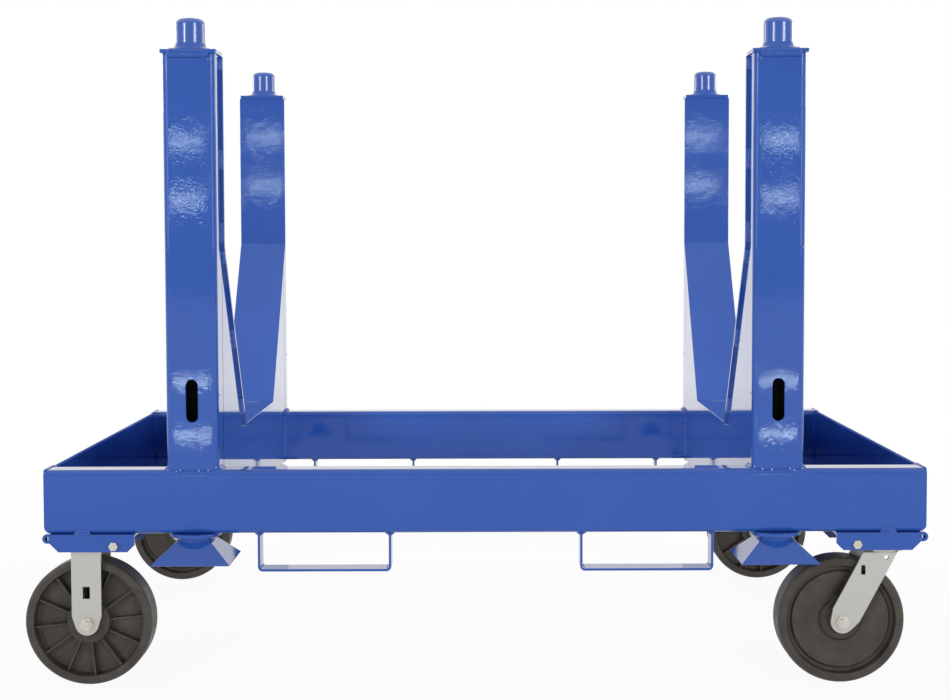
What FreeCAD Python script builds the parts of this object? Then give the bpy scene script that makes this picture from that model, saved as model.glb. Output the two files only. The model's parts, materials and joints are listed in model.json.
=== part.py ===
import FreeCAD
import Part
import math
import os

# V-bottom material cart, millimetres, +Z up, long side along X, front at -Y, floor at Z = 0.

# Frame
FRAME_LENGTH = 1397.0
FRAME_WIDTH = 914.4
RAIL_HEIGHT = 101.6
RAIL_WIDTH = 50.8
RAIL_WALL = 4.8
RAIL_RADIUS = 9.5
RAIL_END_RADIUS = 12.0
PLATE = 6.4

# Posts
POST_FROM_POCKET = 92.9
POST_WIDTH = 82.55
POST_HEIGHT = 654.0
SLOT_WIDTH = 19.0
SLOT_HEIGHT = 67.0
SLOT_RISE = 109.5
CAP_SIDE_LIP = 2.7
CAP_LIP = 2.0
CAP_THICKNESS = 6.4
PIN_RADIUS = 23.0
PIN_HEIGHT = 49.6
PIN_ROUND = 9.0

# V cradle
CRADLE_LIP = 4.8
CRADLE_BEND_RISE = 353.0
CRADLE_FLAT_RISE = 44.0
CRADLE_FLAT_LENGTH = 362.0
CRADLE_BEND_RADIUS = 7.0

# Fork straps
STRAP_GAP = 38.0
STRAP_LENGTH = 212.0
STRAP_DROP = 62.0
STRAP_WIDTH = 38.0
STRAP_THICKNESS = 4.0
STRAP_RADIUS = 8.0

# Stacking seats and funnels
DISC_RADIUS = 40.0
DISC_THICKNESS = 6.0
RING_WALL = 5.0
RING_HEIGHT = 7.5
PIN_CLEARANCE = 1.0
FUNNEL_HEIGHT = 31.0
FUNNEL_MOUTH = 125.0
FUNNEL_WALL = 4.6
FUNNEL_CLEARANCE = 0.9

# Caster pockets
POCKET_THICKNESS = 4.2
POCKET_EDGE = 5.2
POCKET_PAST_BOLT = 32.5
POCKET_CHAMFER = 11.0
POCKET_END_CHAMFER = 15.0
HOOK_CLEARANCE = 0.4
HOOK_REACH = 4.0
HOOK_PAST_FRAME = 3.5
SIDE_CLEARANCE = 1.0
BOLT_RADIUS = 4.0
BOLT_HOLE_CLEARANCE = 0.3
BOLT_HEAD_ACROSS = 13.0
BOLT_HEAD_HEIGHT = 5.5
BOLT_END = 3.0
SLEEVE_WALL = 3.1
SLEEVE_GAP = 0.6
SLEEVE_RACE_GAP = 2.1
HEX_CHAMFER_DEGREES = 30.0

# Casters
CASTER_PLATE_LENGTH = 114.3
CASTER_PLATE_WIDTH = 101.6
CASTER_PLATE = 6.3
PLATE_END_GAP = 0.4
LEG_WIDTH = 47.6
LEG_THICKNESS = 5.0
LEG_TAPER = 4.9
LEG_TAPER_RISE = 12.0
YOKE_BEND = 9.0
LEG_SLOT_WIDTH = 11.0
LEG_SLOT_HEIGHT = 19.0
LEG_SLOT_RISE = 50.0
RAKE_DEGREES = 28.0
SWIVEL_LEAD = 66.5
CROWN_CLEARANCE = 1.5
RACE_RADIUS = 39.5
RACE_GAP = 0.6
KINGPIN_RADIUS = 8.0
KINGPIN_HEAD_ACROSS = 24.0
KINGPIN_HEAD_HEIGHT = 8.0
RUNNING_CLEARANCE = 0.05
RAKED_SLOT_WIDTH = 7.0
RAKED_SLOT_HEIGHT = 15.0
RAKED_SLOT_DROP = 34.0
RAKED_SLOT_OFFSET = 12.2
FORK_HOLE_RADIUS = 3.5
FORK_HOLE_DROP = 14.0
FORK_HOLE_OFFSET = 14.0

# Wheels
WHEEL_RADIUS = 101.6
WHEEL_WIDTH = 50.8
WHEEL_ROUND = 6.0
MOULD_ROUND = 1.5
MOULD_DRAFT = 2.0
RIM_THICKNESS = 14.0
WEB_FACE = 8.0
HUB_STANDOUT = 5.6
HUB_CLEARANCE = 0.75
HUB_WALL = 7.0
HUB_RING = 14.0
RIB_COUNT = 12
RIB_THICKNESS = 3.0
RIB_SINK = 5.4
RIB_ROOT = 1.0
RIB_TURN_DEGREES = 6.0
GROOVE_DEPTH = 12.0
GROOVE_WIDTH = 8.0
DISC_EDGE_SINK = 7.0
DISC_HUB_SINK = 11.0
BOSS_SINK = 5.0
BOSS_SLOPE = 5.0
AXLE_RADIUS = 6.3
AXLE_HEAD_ACROSS = 19.0
AXLE_HEAD_HEIGHT = 8.0
AXLE_END = 3.0
SPACER_WALL = 3.7
BEARING_WALL = 5.0
BEARING_RECESS = 3.0

# Wheel sizes that follow
SPACER_RADIUS = AXLE_RADIUS + SPACER_WALL
BEARING_RADIUS = SPACER_RADIUS + BEARING_WALL
HUB_RADIUS = BEARING_RADIUS + HUB_WALL
HUB_RING_RADIUS = HUB_RADIUS + HUB_RING
RIM_INSIDE = WHEEL_RADIUS - RIM_THICKNESS
HUB_LENGTH = WHEEL_WIDTH + 2 * HUB_STANDOUT
BEARING_LENGTH = HUB_LENGTH - 2 * BEARING_RECESS
LEG_INSIDE = HUB_LENGTH + 2 * HUB_CLEARANCE
LEG_OUTSIDE = LEG_INSIDE / 2 + LEG_THICKNESS
LEG_END_RADIUS = LEG_WIDTH / 2 - LEG_TAPER
SLEEVE_RADIUS = BOLT_RADIUS + BOLT_HOLE_CLEARANCE + SLEEVE_WALL
THROAT_RADIUS = PIN_RADIUS + PIN_CLEARANCE
RING_RADIUS = THROAT_RADIUS + RING_WALL

# Levels, from the floor up: the funnels just clear the swivelling wheels
FUNNEL_BOTTOM = 2 * WHEEL_RADIUS + FUNNEL_CLEARANCE
RING_BOTTOM = FUNNEL_BOTTOM + FUNNEL_HEIGHT
DISC_BOTTOM = RING_BOTTOM + RING_HEIGHT
RAIL_BOTTOM = DISC_BOTTOM + DISC_THICKNESS
RAIL_TOP = RAIL_BOTTOM + RAIL_HEIGHT
POST_TOP = RAIL_TOP + POST_HEIGHT
CAP_TOP = POST_TOP + CAP_THICKNESS
CASTER_HEIGHT = RAIL_BOTTOM - POCKET_THICKNESS
PLATE_BOTTOM = CASTER_HEIGHT - CASTER_PLATE
BOLT_Z = PLATE_BOTTOM - SLEEVE_GAP - SLEEVE_RADIUS
POCKET_BOTTOM = BOLT_Z - BOLT_RADIUS - BOLT_HOLE_CLEARANCE - POCKET_EDGE
CROWN_TOP = POCKET_BOTTOM - CROWN_CLEARANCE
CROWN_BOTTOM = CROWN_TOP - LEG_THICKNESS
RACE_SPLIT = (CROWN_TOP + PLATE_BOTTOM) / 2

# Places along X, from the end of the frame inwards
HALF_LENGTH = FRAME_LENGTH / 2
HOOK_INNER = (CASTER_PLATE + HOOK_CLEARANCE) / 2
HOOK_OUTER = HOOK_INNER + POCKET_THICKNESS
HOOK_Z = CASTER_HEIGHT - HOOK_INNER
POCKET_END_X = HALF_LENGTH + HOOK_PAST_FRAME
HOOK_X = POCKET_END_X - HOOK_OUTER
CASTER_X = HOOK_X - PLATE_END_GAP - CASTER_PLATE_LENGTH / 2
TRAIL_X = CASTER_X - SWIVEL_LEAD
BOLT_X = CASTER_X - RACE_RADIUS - SLEEVE_RACE_GAP - SLEEVE_RADIUS
POCKET_START_X = BOLT_X - POCKET_PAST_BOLT
POST_X = POCKET_START_X - POST_FROM_POCKET
POST_INNER_X = POST_X - POST_WIDTH / 2
POST_OUTER_X = POST_X + POST_WIDTH / 2
STRAP_X = POST_X - FUNNEL_MOUTH / 2 - STRAP_GAP - STRAP_LENGTH / 2

# Places along Y
HALF_WIDTH = FRAME_WIDTH / 2
RAIL_INSIDE = HALF_WIDTH - RAIL_WIDTH
RAIL_Y = HALF_WIDTH - RAIL_WIDTH / 2
POCKET_HALF = CASTER_PLATE_WIDTH / 2 + SIDE_CLEARANCE
POCKET_INNER_BEND = SIDE_CLEARANCE
POCKET_OUTSIDE = POCKET_HALF + POCKET_THICKNESS
CASTER_Y = HALF_WIDTH - POCKET_HALF

# The left wheels reach past the frame, the right ones do not: this centres the whole cart on X = 0
SHIFT_X = (CASTER_X + WHEEL_RADIUS - POCKET_END_X) / 2

X_AXIS = FreeCAD.Vector(1, 0, 0)
Y_AXIS = FreeCAD.Vector(0, 1, 0)
Z_AXIS = FreeCAD.Vector(0, 0, 1)
ORIGIN = FreeCAD.Vector(0, 0, 0)


def box(x0, x1, y0, y1, z0, z1):
    return Part.makeBox(x1 - x0, y1 - y0, z1 - z0, FreeCAD.Vector(x0, y0, z0))


def rod(radius, start, length, axis):
    return Part.makeCylinder(radius, length, FreeCAD.Vector(*start), axis)


def outline(points, radii, place):
    """Closed face through 2D points, each corner rounded by its radius; place maps 2D to space."""
    count = len(points)
    stops = []
    for i in range(count):
        here = FreeCAD.Vector(points[i][0], points[i][1], 0)
        before = FreeCAD.Vector(points[i - 1][0], points[i - 1][1], 0) - here
        after = FreeCAD.Vector(points[(i + 1) % count][0], points[(i + 1) % count][1], 0) - here
        if radii[i] <= 0:
            stops.append((here, None, here))
            continue
        before.normalize()
        after.normalize()
        half = before.getAngle(after) / 2
        setback = radii[i] / math.tan(half)
        bisector = before + after
        bisector.normalize()
        middle = here + bisector * (radii[i] / math.sin(half) - radii[i])
        stops.append((here + before * setback, middle, here + after * setback))
    edges = []
    for i in range(count):
        first, middle, last = stops[i]
        if middle is not None:
            edges.append(Part.Arc(place(first), place(middle), place(last)).toShape())
        following = stops[(i + 1) % count][0]
        if last.distanceToPoint(following) > 1e-6:
            edges.append(Part.makeLine(place(last), place(following)))
    return Part.Face(Part.Wire(edges))


def prism_x(points, radii, x0, x1):
    face = outline(points, radii, lambda p: FreeCAD.Vector(x0, p.x, p.y))
    return face.extrude(FreeCAD.Vector(x1 - x0, 0, 0))


def prism_y(points, radii, y0, y1):
    face = outline(points, radii, lambda p: FreeCAD.Vector(p.x, y0, p.y))
    return face.extrude(FreeCAD.Vector(0, y1 - y0, 0))


def prism_z(points, radii, z0, z1):
    face = outline(points, radii, lambda p: FreeCAD.Vector(p.x, p.y, z0))
    return face.extrude(FreeCAD.Vector(0, 0, z1 - z0))


def rectangle(u0, u1, v0, v1):
    return [(u0, v0), (u1, v0), (u1, v1), (u0, v1)]


def hexagon(across, centre):
    reach = across / math.sqrt(3)
    corners = []
    for i in range(6):
        angle = math.radians(60 * i)
        corners.append((centre[0] + reach * math.cos(angle), centre[1] + reach * math.sin(angle)))
    return corners


def square_wire(half, centre, z):
    corners = []
    for sx, sy in ((-1, -1), (1, -1), (1, 1), (-1, 1), (-1, -1)):
        corners.append(FreeCAD.Vector(centre[0] + sx * half, centre[1] + sy * half, z))
    return Part.makePolygon(corners)


def obround_y(x, z, width, height, y0, y1):
    """Upright slot with round ends, along Y."""
    reach = (height - width) / 2
    slot = box(x - width / 2, x + width / 2, y0, y1, z - reach, z + reach)
    for end_z in (z - reach, z + reach):
        slot = slot.fuse(rod(width / 2, (x, y0, end_z), y1 - y0, Y_AXIS))
    return slot.removeSplitter()


def hex_y(across, x, z, seat, free):
    """Hexagonal head or nut along Y, its free face chamfered to a circle."""
    blank = prism_y(hexagon(across, (x, z)), [0] * 6, seat, free)
    height = abs(free - seat)
    spread = height / math.tan(math.radians(HEX_CHAMFER_DEGREES))
    inwards = FreeCAD.Vector(0, seat - free, 0)
    cone = Part.makeCone(across / 2, across / 2 + spread, height, FreeCAD.Vector(x, free, z), inwards)
    return blank.common(cone)


def mirrored(shape, side, end):
    """Copy of a piece built at +X and -Y; side -1 moves it to -X, end 1 moves it to +Y."""
    result = shape.copy()
    if side < 0:
        result = result.mirror(ORIGIN, X_AXIS)
    if end > 0:
        result = result.mirror(ORIGIN, Y_AXIS)
    return result


def save(name, *solids):
    shape = solids[0].copy() if len(solids) == 1 else Part.makeCompound(list(solids))
    shape.translate(FreeCAD.Vector(SHIFT_X, 0, 0))
    shape.exportStep(os.path.join("parts", name + ".step"))


def rail_bore():
    return rectangle(-HALF_WIDTH + RAIL_WALL, -RAIL_INSIDE - RAIL_WALL,
                     RAIL_BOTTOM + RAIL_WALL, RAIL_TOP - RAIL_WALL)


def rail_end_shape():
    side = rectangle(-HALF_LENGTH, HALF_LENGTH, RAIL_BOTTOM, RAIL_TOP)
    return prism_y(side, [RAIL_END_RADIUS, RAIL_END_RADIUS, 0, 0], -HALF_WIDTH, -RAIL_INSIDE)


def rail():
    outer = prism_x(rectangle(-HALF_WIDTH, -RAIL_INSIDE, RAIL_BOTTOM, RAIL_TOP), [RAIL_RADIUS] * 4,
                    -HALF_LENGTH, HALF_LENGTH)
    bore = prism_x(rail_bore(), [RAIL_RADIUS - RAIL_WALL] * 4, -HALF_LENGTH, HALF_LENGTH)
    return outer.cut(bore).common(rail_end_shape())


def rail_end_cap():
    cap = prism_x(rail_bore(), [RAIL_RADIUS - RAIL_WALL] * 4, HALF_LENGTH - RAIL_WALL, HALF_LENGTH)
    return cap.common(rail_end_shape())


def end_wall():
    return box(HALF_LENGTH - PLATE, HALF_LENGTH, -RAIL_INSIDE, RAIL_INSIDE, RAIL_BOTTOM, RAIL_TOP)


def floor_plate():
    return box(POST_INNER_X + PLATE, HALF_LENGTH - PLATE, -RAIL_INSIDE, RAIL_INSIDE,
               RAIL_BOTTOM, RAIL_BOTTOM + PLATE)


def space_above_cradle(thickness, x0, x1):
    """Everything above the cradle plate: 0 gives its load side, PLATE gives its underside."""
    wall = RAIL_INSIDE - PLATE
    flat = CRADLE_FLAT_LENGTH / 2
    bend_z = RAIL_TOP + CRADLE_BEND_RISE
    flat_z = RAIL_TOP + CRADLE_FLAT_RISE
    slope = math.atan2(bend_z - flat_z, wall - flat)
    upper = thickness * math.tan((math.pi / 2 - slope) / 2)
    lower = thickness * math.tan(slope / 2)
    half = [(wall + thickness, POST_TOP), (wall + thickness, bend_z - upper),
            (flat + lower, flat_z - thickness)]
    mirror = [(-y, z) for y, z in reversed(half)]
    bend = CRADLE_BEND_RADIUS + thickness
    return prism_x(half + mirror, [0, bend, bend, bend, bend, 0], x0, x1)


def cradle():
    x0 = POST_INNER_X - CRADLE_LIP
    x1 = POST_OUTER_X + CRADLE_LIP
    return space_above_cradle(PLATE, x0, x1).cut(space_above_cradle(0, x0, x1))


def web(x0, z0):
    blank = box(x0, x0 + PLATE, -RAIL_INSIDE, RAIL_INSIDE, z0, RAIL_TOP + CRADLE_BEND_RISE)
    return blank.cut(space_above_cradle(PLATE, x0, x0 + PLATE))


def post():
    outside = rectangle(POST_INNER_X, POST_OUTER_X, -HALF_WIDTH, -RAIL_INSIDE)
    inside = rectangle(POST_INNER_X + RAIL_WALL, POST_OUTER_X - RAIL_WALL,
                       -HALF_WIDTH + RAIL_WALL, -RAIL_INSIDE - RAIL_WALL)
    tube = prism_z(outside, [RAIL_RADIUS] * 4, RAIL_TOP, POST_TOP)
    tube = tube.cut(prism_z(inside, [RAIL_RADIUS - RAIL_WALL] * 4, RAIL_TOP, POST_TOP))
    return tube.cut(obround_y(POST_X, RAIL_TOP + SLOT_RISE, SLOT_WIDTH, SLOT_HEIGHT, -HALF_WIDTH, -RAIL_Y))


def post_cap():
    return box(POST_INNER_X - CAP_SIDE_LIP, POST_OUTER_X + CAP_SIDE_LIP, -HALF_WIDTH - CAP_LIP,
               -RAIL_INSIDE + PLATE + CAP_LIP, POST_TOP, CAP_TOP)


def stack_pin():
    """Stub with a rounded top, turned about the post's axis."""
    side = rectangle(0, PIN_RADIUS, CAP_TOP, CAP_TOP + PIN_HEIGHT)
    half = outline(side, [0, 0, PIN_ROUND, 0], lambda p: FreeCAD.Vector(POST_X + p.x, -RAIL_Y, p.y))
    return half.revolve(FreeCAD.Vector(POST_X, -RAIL_Y, 0), Z_AXIS, 360)


def fork_strap():
    half = STRAP_LENGTH / 2
    low = RAIL_BOTTOM - STRAP_DROP
    y0 = -RAIL_Y - STRAP_WIDTH / 2
    y1 = -RAIL_Y + STRAP_WIDTH / 2
    outside = rectangle(STRAP_X - half, STRAP_X + half, low, RAIL_BOTTOM)
    inside = rectangle(STRAP_X - half + STRAP_THICKNESS, STRAP_X + half - STRAP_THICKNESS,
                       low + STRAP_THICKNESS, RAIL_BOTTOM)
    inner_radius = STRAP_RADIUS - STRAP_THICKNESS
    bar = prism_y(outside, [STRAP_RADIUS, STRAP_RADIUS, 0, 0], y0, y1)
    return bar.cut(prism_y(inside, [inner_radius, inner_radius, 0, 0], y0, y1))


def stack_seat():
    disc = rod(DISC_RADIUS, (POST_X, -RAIL_Y, DISC_BOTTOM), DISC_THICKNESS, Z_AXIS)
    start = (POST_X, -RAIL_Y, RING_BOTTOM)
    ring = rod(RING_RADIUS, start, RING_HEIGHT, Z_AXIS)
    return disc.fuse(ring.cut(rod(THROAT_RADIUS, start, RING_HEIGHT, Z_AXIS)))


def funnel():
    centre = (POST_X, -RAIL_Y)
    mouth = FUNNEL_MOUTH / 2
    outer = Part.makeLoft([square_wire(mouth, centre, FUNNEL_BOTTOM),
                           square_wire(THROAT_RADIUS + FUNNEL_WALL, centre, RING_BOTTOM)], True, True)
    inner = Part.makeLoft([square_wire(mouth - FUNNEL_WALL, centre, FUNNEL_BOTTOM),
                           square_wire(THROAT_RADIUS, centre, RING_BOTTOM)], True, True)
    return outer.cut(inner)


def pocket_hook():
    """Rolled lip at the outer end of the pocket, closing round the end of the caster plate."""
    x0 = HOOK_X - HOOK_REACH
    y0 = -CASTER_Y - POCKET_HALF + POCKET_INNER_BEND
    y1 = -CASTER_Y + POCKET_HALF - POCKET_INNER_BEND
    hook = box(x0, HOOK_X, y0, y1, HOOK_Z - HOOK_OUTER, RAIL_BOTTOM)
    hook = hook.fuse(rod(HOOK_OUTER, (HOOK_X, y0, HOOK_Z), y1 - y0, Y_AXIS))
    hook = hook.cut(rod(HOOK_INNER, (HOOK_X, y0, HOOK_Z), y1 - y0, Y_AXIS))
    hook = hook.cut(box(x0, HOOK_X, y0, y1, HOOK_Z - HOOK_INNER, HOOK_Z + HOOK_INNER))
    return hook.cut(box(HOOK_X - HOOK_OUTER, x0, y0, y1, HOOK_Z - HOOK_OUTER, CASTER_HEIGHT))


def caster_pocket():
    """Inverted tray with a front and a rear flange, corners cut off, and the rolled lip."""
    x0 = POCKET_START_X
    x1 = HOOK_X - HOOK_REACH
    outer_bend = POCKET_INNER_BEND + POCKET_THICKNESS
    blank = rectangle(-CASTER_Y - POCKET_OUTSIDE, -CASTER_Y + POCKET_OUTSIDE, POCKET_BOTTOM, RAIL_BOTTOM)
    hollow = rectangle(-CASTER_Y - POCKET_HALF, -CASTER_Y + POCKET_HALF, POCKET_BOTTOM, CASTER_HEIGHT)
    tray = prism_x(blank, [0, 0, outer_bend, outer_bend], x0, x1)
    tray = tray.cut(prism_x(hollow, [0, 0, POCKET_INNER_BEND, POCKET_INNER_BEND], x0, x1))
    for x, step in ((x0, POCKET_CHAMFER), (x1, -POCKET_END_CHAMFER)):
        corner = [(x, POCKET_BOTTOM), (x + step, POCKET_BOTTOM), (x, POCKET_BOTTOM + abs(step))]
        tray = tray.cut(prism_y(corner, [0, 0, 0], -CASTER_Y - POCKET_OUTSIDE, -CASTER_Y + POCKET_OUTSIDE))
    hole = rod(BOLT_RADIUS + BOLT_HOLE_CLEARANCE, (BOLT_X, -CASTER_Y - POCKET_OUTSIDE, BOLT_Z),
               2 * POCKET_OUTSIDE, Y_AXIS)
    return tray.cut(hole).fuse(pocket_hook()).removeSplitter()


def pocket_bolt():
    """Bolt through both flanges, below the caster plate, and its nut."""
    front = -CASTER_Y - POCKET_OUTSIDE
    back = -CASTER_Y + POCKET_OUTSIDE
    shank = rod(BOLT_RADIUS, (BOLT_X, front, BOLT_Z), back + BOLT_HEAD_HEIGHT + BOLT_END - front, Y_AXIS)
    head = hex_y(BOLT_HEAD_ACROSS, BOLT_X, BOLT_Z, front, front - BOLT_HEAD_HEIGHT)
    nut = hex_y(BOLT_HEAD_ACROSS, BOLT_X, BOLT_Z, back, back + BOLT_HEAD_HEIGHT)
    return head.fuse(shank), nut.cut(shank)


def pocket_sleeve():
    start = (BOLT_X, -CASTER_Y - POCKET_HALF, BOLT_Z)
    tube = rod(SLEEVE_RADIUS, start, 2 * POCKET_HALF, Y_AXIS)
    return tube.cut(rod(BOLT_RADIUS + BOLT_HOLE_CLEARANCE, start, 2 * POCKET_HALF, Y_AXIS))


def caster_plate():
    half = CASTER_PLATE_LENGTH / 2
    return box(CASTER_X - half, CASTER_X + half, -CASTER_Y - CASTER_PLATE_WIDTH / 2,
               -CASTER_Y + CASTER_PLATE_WIDTH / 2, PLATE_BOTTOM, CASTER_HEIGHT)


def leg_outline(axle_x, rake, height, y):
    """Side view of a fork leg about the axle: straight edges tapering into a round end."""
    half = LEG_WIDTH / 2
    far = math.hypot(half, LEG_TAPER_RISE)
    turn = math.atan2(LEG_TAPER_RISE, half) - math.acos(LEG_END_RADIUS / far)
    touch = (LEG_END_RADIUS * math.cos(turn), LEG_END_RADIUS * math.sin(turn))
    stops = [(-touch[0], touch[1]), (-half, LEG_TAPER_RISE), (-half, height), (half, height),
             (half, LEG_TAPER_RISE), touch]
    tilt = math.radians(rake)

    def place(u, w):
        x = axle_x + u * math.cos(tilt) + w * math.sin(tilt)
        return FreeCAD.Vector(x, y, WHEEL_RADIUS - u * math.sin(tilt) + w * math.cos(tilt))

    points = [place(u, w) for u, w in stops]
    edges = [Part.makeLine(a, b) for a, b in zip(points[:-1], points[1:])]
    edges.append(Part.Arc(points[-1], place(0, -LEG_END_RADIUS), points[0]).toShape())
    return Part.Face(Part.Wire(edges))


def yoke(axle_x, rake, top):
    """Fork bent from one strip: a level crown and two legs leaning by rake degrees about the axle."""
    y0 = -CASTER_Y - LEG_OUTSIDE
    y1 = -CASTER_Y + LEG_OUTSIDE
    height = 2 * top
    inner_bend = YOKE_BEND - LEG_THICKNESS
    blank = prism_x(rectangle(y0, y1, 0, top), [0, 0, YOKE_BEND, YOKE_BEND],
                    axle_x - height, axle_x + height)
    hollow = rectangle(y0 + LEG_THICKNESS, y1 - LEG_THICKNESS, 0, top - LEG_THICKNESS)
    blank = blank.cut(prism_x(hollow, [0, 0, inner_bend, inner_bend], axle_x - height, axle_x + height))
    side = leg_outline(axle_x, rake, height, y0).extrude(FreeCAD.Vector(0, y1 - y0, 0))
    return blank.common(side).cut(rod(AXLE_RADIUS, (axle_x, y0, WHEEL_RADIUS), y1 - y0, Y_AXIS))


def rigid_fork():
    fork = caster_plate().fuse(yoke(CASTER_X, 0, PLATE_BOTTOM)).removeSplitter()
    middle = WHEEL_RADIUS + LEG_SLOT_RISE
    return fork.cut(box(CASTER_X - LEG_SLOT_WIDTH / 2, CASTER_X + LEG_SLOT_WIDTH / 2,
                        -CASTER_Y - LEG_OUTSIDE, -CASTER_Y + LEG_OUTSIDE,
                        middle - LEG_SLOT_HEIGHT / 2, middle + LEG_SLOT_HEIGHT / 2))


def swivel_plate():
    low = RACE_SPLIT + RACE_GAP / 2
    start = (CASTER_X, -CASTER_Y, low)
    head = caster_plate().fuse(rod(RACE_RADIUS, start, PLATE_BOTTOM - low, Z_AXIS))
    return head.cut(rod(KINGPIN_RADIUS, start, CASTER_HEIGHT - low, Z_AXIS))


def kingpin():
    low = CROWN_BOTTOM - RACE_GAP
    shank = rod(KINGPIN_RADIUS, (CASTER_X, -CASTER_Y, low), CASTER_HEIGHT - low, Z_AXIS)
    nut = prism_z(hexagon(KINGPIN_HEAD_ACROSS, (CASTER_X, -CASTER_Y)), [0] * 6,
                  low - KINGPIN_HEAD_HEIGHT, low)
    return shank.fuse(nut)


def swivel_fork():
    """Raked yoke with the lower race on its crown, and a slot and a hole through both legs."""
    slant = math.tan(math.radians(RAKE_DEGREES))
    lean = (CROWN_TOP - WHEEL_RADIUS) * slant
    start = (CASTER_X, -CASTER_Y, CROWN_BOTTOM)
    rise = RACE_SPLIT - RACE_GAP / 2 - CROWN_BOTTOM
    fork = yoke(TRAIL_X, RAKE_DEGREES, CROWN_TOP).fuse(rod(RACE_RADIUS, start, rise, Z_AXIS))
    fork = fork.cut(rod(KINGPIN_RADIUS + RUNNING_CLEARANCE, start, rise, Z_AXIS))
    y0 = -CASTER_Y - LEG_OUTSIDE
    y1 = -CASTER_Y + LEG_OUTSIDE
    slot_x = TRAIL_X + lean - RAKED_SLOT_DROP * slant - RAKED_SLOT_OFFSET
    slot_z = CROWN_TOP - RAKED_SLOT_DROP
    fork = fork.cut(box(slot_x - RAKED_SLOT_WIDTH / 2, slot_x + RAKED_SLOT_WIDTH / 2, y0, y1,
                        slot_z - RAKED_SLOT_HEIGHT / 2, slot_z + RAKED_SLOT_HEIGHT / 2))
    hole_x = TRAIL_X + lean - FORK_HOLE_DROP * slant + FORK_HOLE_OFFSET
    return fork.cut(rod(FORK_HOLE_RADIUS, (hole_x, y0, CROWN_TOP - FORK_HOLE_DROP), y1 - y0, Y_AXIS))


def axle(axle_x):
    """Bolt with its head inboard, nut outboard, spacer sleeve between the legs."""
    y0 = -CASTER_Y - LEG_OUTSIDE
    y1 = -CASTER_Y + LEG_OUTSIDE
    head = hex_y(AXLE_HEAD_ACROSS, axle_x, WHEEL_RADIUS, y1, y1 + AXLE_HEAD_HEIGHT)
    start = (axle_x, y0 - AXLE_HEAD_HEIGHT - AXLE_END, WHEEL_RADIUS)
    shank = rod(AXLE_RADIUS, start, y1 - start[1], Y_AXIS)
    nut = hex_y(AXLE_HEAD_ACROSS, axle_x, WHEEL_RADIUS, y0, y0 - AXLE_HEAD_HEIGHT).cut(shank)
    inside = (axle_x, -CASTER_Y - LEG_INSIDE / 2, WHEEL_RADIUS)
    spacer = rod(SPACER_RADIUS, inside, LEG_INSIDE, Y_AXIS).cut(shank)
    return head.fuse(shank), nut, spacer


def ribbed_side():
    """Half of the wheel's section, as radius and place along the axle, with the recess for the ribs."""
    half = WHEEL_WIDTH / 2
    end = HUB_LENGTH / 2
    return [(BEARING_RADIUS, -end), (HUB_RADIUS, -end), (HUB_RADIUS, -half),
            (HUB_RING_RADIUS - MOULD_DRAFT, -half), (HUB_RING_RADIUS, -WEB_FACE),
            (RIM_INSIDE - MOULD_DRAFT, -WEB_FACE), (RIM_INSIDE, -half)]


def smooth_side():
    """The other half of the section: a dished disc with a groove inside the rim and a hub boss."""
    half = WHEEL_WIDTH / 2
    end = HUB_LENGTH / 2
    disc_edge = RIM_INSIDE - GROOVE_WIDTH
    return [(RIM_INSIDE, half), (RIM_INSIDE - MOULD_DRAFT, half - GROOVE_DEPTH),
            (disc_edge, half - GROOVE_DEPTH), (disc_edge - MOULD_DRAFT, half - DISC_EDGE_SINK),
            (HUB_RING_RADIUS, half - DISC_HUB_SINK), (HUB_RING_RADIUS - BOSS_SLOPE, half - BOSS_SINK),
            (HUB_RADIUS, half - BOSS_SINK), (HUB_RADIUS - MOULD_DRAFT, end), (BEARING_RADIUS, end)]


def wheel(axle_x, ribbed):
    """Moulded wheel about the axle; ribbed -1 turns its ribbed side to the front."""
    half = WHEEL_WIDTH / 2
    ribs = ribbed_side()
    disc = smooth_side()
    tread = [(WHEEL_RADIUS, -half), (WHEEL_RADIUS, half)]
    rounds = [0] + [MOULD_ROUND] * (len(ribs) - 1) + [WHEEL_ROUND] * 2 + [MOULD_ROUND] * (len(disc) - 1) + [0]
    section = outline(ribs + tread + disc, rounds, lambda p: FreeCAD.Vector(p.x, p.y, 0))
    body = section.revolve(ORIGIN, Y_AXIS, 360)
    spokes = []
    for i in range(RIB_COUNT):
        rib = box(HUB_RING_RADIUS - MOULD_DRAFT, RIM_INSIDE - RIB_ROOT, RIB_SINK - half, RIB_ROOT - WEB_FACE,
                  -RIB_THICKNESS / 2, RIB_THICKNESS / 2)
        rib.rotate(ORIGIN, Y_AXIS, 360 * i / RIB_COUNT + RIB_TURN_DEGREES)
        spokes.append(rib)
    body = body.multiFuse(spokes)
    if ribbed > 0:
        body.rotate(ORIGIN, Z_AXIS, 180)
    body.translate(FreeCAD.Vector(axle_x, -CASTER_Y, WHEEL_RADIUS))
    return body


def bearing(axle_x):
    start = (axle_x, -CASTER_Y - BEARING_LENGTH / 2, WHEEL_RADIUS)
    ring = rod(BEARING_RADIUS, start, BEARING_LENGTH, Y_AXIS)
    return ring.cut(rod(SPACER_RADIUS + RUNNING_CLEARANCE, start, BEARING_LENGTH, Y_AXIS))


os.makedirs("parts", exist_ok=True)

ENDS = (("front", -1), ("rear", 1))
SIDES = (("left", -1), ("right", 1))
CORNERS = [(end, side, i, j) for end, i in ENDS for side, j in SIDES]


def save_at_corners(name, *solids):
    """One node that holds a copy of the solids at each of the four corners."""
    save(name, *[mirrored(solid, j, i) for end, side, i, j in CORNERS for solid in solids])


for end, i in ENDS:
    save(end + "_rail", mirrored(rail(), 1, i))

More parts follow.
